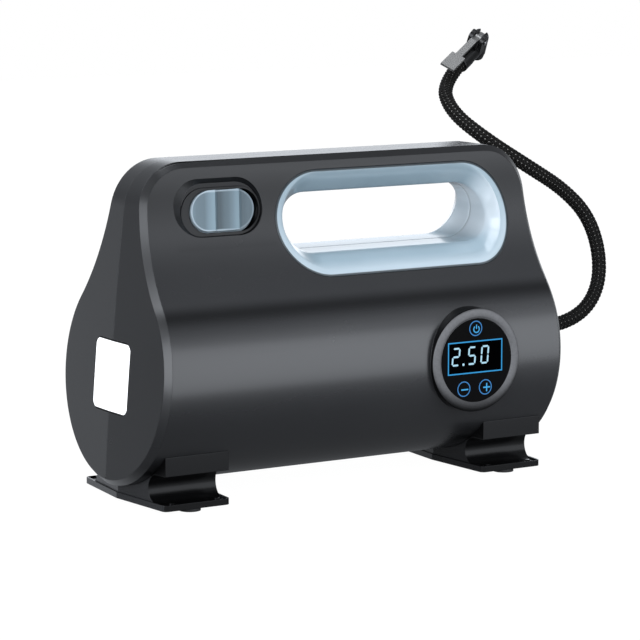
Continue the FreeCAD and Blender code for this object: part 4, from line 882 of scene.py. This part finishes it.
def add_display():
    """Black window in a blue frame, cyan figures and three ringed keys."""
    window = Figure(WINDOW_LIFT)
    window.polygon(((FRAME_LEFT, FRAME_LOW), (FRAME_RIGHT, FRAME_LOW), (FRAME_RIGHT, FRAME_HIGH),
                    (FRAME_LEFT, FRAME_HIGH)))
    window.finish("display_window", WINDOW)
    frame_lines = Figure(FIGURE_LIFT)
    for z in (FRAME_LOW, FRAME_HIGH):
        frame_lines.bar((FRAME_LEFT - FRAME_HALF, z), (FRAME_RIGHT + FRAME_HALF, z), FRAME_HALF)
    for x in (FRAME_LEFT, FRAME_RIGHT):
        frame_lines.bar((x, FRAME_LOW + FRAME_HALF), (x, FRAME_HIGH - FRAME_HALF), FRAME_HALF)
    frame_lines.finish("display_frame", FRAME_BLUE)
    rings = Figure(FIGURE_LIFT)
    for centre in (POWER_KEY, MINUS_KEY, PLUS_KEY):
        rings.arc(centre, KEY_RADIUS, KEY_HALF)
    rings.finish("display_keys", RING_BLUE)
    signs = Figure(FIGURE_LIFT)
    for x, z in (MINUS_SIGN, PLUS_SIGN):
        signs.bar((x - SIGN_REACH, z), (x + SIGN_REACH, z), SIGN_HALF)
    x, z = PLUS_SIGN
    signs.bar((x, z + SIGN_HALF), (x, z + SIGN_REACH), SIGN_HALF)
    signs.bar((x, z - SIGN_REACH), (x, z - SIGN_HALF), SIGN_HALF)
    x, z = POWER_SIGN
    signs.arc((x, z - POWER_DROP), POWER_RADIUS, POWER_HALF, POWER_START, POWER_SWEEP)
    signs.bar((x, z), (x, z + SIGN_REACH), POWER_HALF)
    signs.finish("display_signs", SIGN_BLUE)
    digits = Figure(FIGURE_LIFT)
    for sign, left in DIGITS:
        for name in SEGMENTS[sign]:
            ends = []
            for u, v in SEGMENT_ENDS[name]:
                ends.append((left + u * DIGIT_WIDE + DIGIT_SLANT * v * DIGIT_HIGH, DIGIT_LOW + v * DIGIT_HIGH))
            digits.pointed(ends[0], ends[1], DIGIT_HALF, DIGIT_GAP)
    digits.disc(DOT, DOT_RADIUS)
    digits.finish("display_figures", CYAN)


add_display()


# Studio

TINT = (0.90, 0.94, 1.0)
WHITE = (1.0, 1.0, 1.0, 1.0)

# Radiance round the object: a soft change from below to above, and parts on it.
# A part is its strength and its bounds, each with an axis, where the part is nothing and where all of it
GROUND, SKY, GROUND_Z, SKY_Z = 0.17, 0.36, -0.2, 0.9
BAND_IN_FRONT = (0.75, ("Z", -0.66, 0.05), ("Z", 0.68, 0.46), ("Y", 0.0, -0.6), ("X", 0.9, 0.65))
LIGHT_AT_LEFT = (0.1, ("X", -0.3, -0.7), ("Z", 0.15, 0.5), ("Z", 0.97, 0.8))
GLOW_BEHIND = (0.42, ("X", -0.52, -0.42), ("X", 0.5, 0.2), ("Y", 0.3, 0.75), ("Z", 0.12, -0.02))
WALL_BEHIND = (0.08, ("X", -0.35, -0.1), ("Y", 0.2, 0.8), ("Z", 0.7, 0.2), ("Z", -0.5, 0.0))
WALL_RIGHT = (1.55, ("X", 0.0, 0.4), ("Y", 0.2, 0.8), ("Z", 0.5, 0.14), ("Z", -0.2, 0.1))


def add_world():
    """White to the camera and through glass; soft bands and walls to everything else."""
    world = bpy.data.worlds.new("studio")
    bpy.context.scene.world = world
    world.use_nodes = True
    tree = world.node_tree
    background = tree.nodes["Background"]
    ways = split(tree, tree.nodes.new("ShaderNodeTexCoord").outputs["Generated"])
    total = slope(tree, ways["Z"], GROUND_Z, SKY_Z, GROUND, SKY)
    for part in (BAND_IN_FRONT, LIGHT_AT_LEFT, GLOW_BEHIND, WALL_BEHIND, WALL_RIGHT):
        total = math_node(tree, "ADD", total, within(tree, ways, *part))
    rays = tree.nodes.new("ShaderNodeLightPath")
    seen = largest(tree, rays.outputs["Is Camera Ray"], rays.outputs["Is Transmission Ray"])
    studio = tinted(tree, total, (*TINT, 1.0))
    tree.links.new(mixed(tree, studio, WHITE, seen), background.inputs["Color"])
    background.inputs["Strength"].default_value = 1.0


# Lamps: place, the point each looks at, size and power
LAMPS = {
    "front_strip": ((0.155, -0.23, 0.096), (0.155, 0.0, 0.096), (0.49, 0.18), 0.445),
    "left_key": ((-1.9, -1.1, 0.55), (0.0, 0.0, 0.09), (1.3, 1.3), 15.0),
    "left_window": ((-0.70, 0.0, 0.98), (0.1, -0.02, 0.14), (0.55, 0.50), 3.0),
    "top_box": ((-0.1, 0.15, 1.6), (0.0, 0.0, 0.1), (1.0, 0.9), 8.5),
}


def add_lamps():
    """Soft rectangular lamps that the camera doesn't see."""
    for name, (place, target, size, power) in LAMPS.items():
        data = bpy.data.lights.new(name, "AREA")
        data.shape = "RECTANGLE"
        data.size, data.size_y = size
        data.energy = power
        data.color = TINT
        lamp = link(bpy.data.objects.new(name, data))
        lamp.visible_camera = False
        lamp.location = place
        lamp.rotation_euler = (Vector(target) - Vector(place)).to_track_quat("-Z", "Y").to_euler()


FLOOR_HALF = 3.0
FLOOR_DIM, FLOOR_PALE = (0.12, 0.12, 0.12, 1.0), (0.95, 0.95, 0.95, 1.0)
FLOOR_GLOW, FLOOR_GLOW_SHARE = 1.06, 0.93


def add_floor():
    """White to the camera apart from the object's shadow, dim under the object and clear to reflections."""
    half = FLOOR_HALF
    obj = mesh_object("floor", [(-half, -half, 0), (half, -half, 0), (half, half, 0), (-half, half, 0)],
                      [(0, 1, 2, 3)], smooth=False)
    material, tree, bsdf = shader("floor")
    rays = tree.nodes.new("ShaderNodeLightPath")
    seen = rays.outputs["Is Camera Ray"]
    tree.links.new(mixed(tree, FLOOR_DIM, FLOOR_PALE, seen), bsdf.inputs["Base Color"])
    bsdf.inputs["Roughness"].default_value = 1.0
    bsdf.inputs["Specular IOR Level"].default_value = 0.0
    glow = tree.nodes.new("ShaderNodeEmission")
    glow.inputs["Strength"].default_value = FLOOR_GLOW
    white = tree.nodes.new("ShaderNodeMixShader")
    tree.links.new(product(tree, seen, FLOOR_GLOW_SHARE), white.inputs["Fac"])
    tree.links.new(bsdf.outputs["BSDF"], white.inputs[1])
    tree.links.new(glow.outputs["Emission"], white.inputs[2])
    clear = tree.nodes.new("ShaderNodeBsdfTransparent")
    surface = tree.nodes.new("ShaderNodeMixShader")
    tree.links.new(rays.outputs["Is Glossy Ray"], surface.inputs["Fac"])
    tree.links.new(white.outputs["Shader"], surface.inputs[1])
    tree.links.new(clear.outputs["BSDF"], surface.inputs[2])
    tree.links.new(surface.outputs["Shader"], tree.nodes["Material Output"].inputs["Surface"])
    dress(obj, material)


add_world()
add_floor()
add_lamps()
bpy.context.scene.view_settings.view_transform = "Standard"
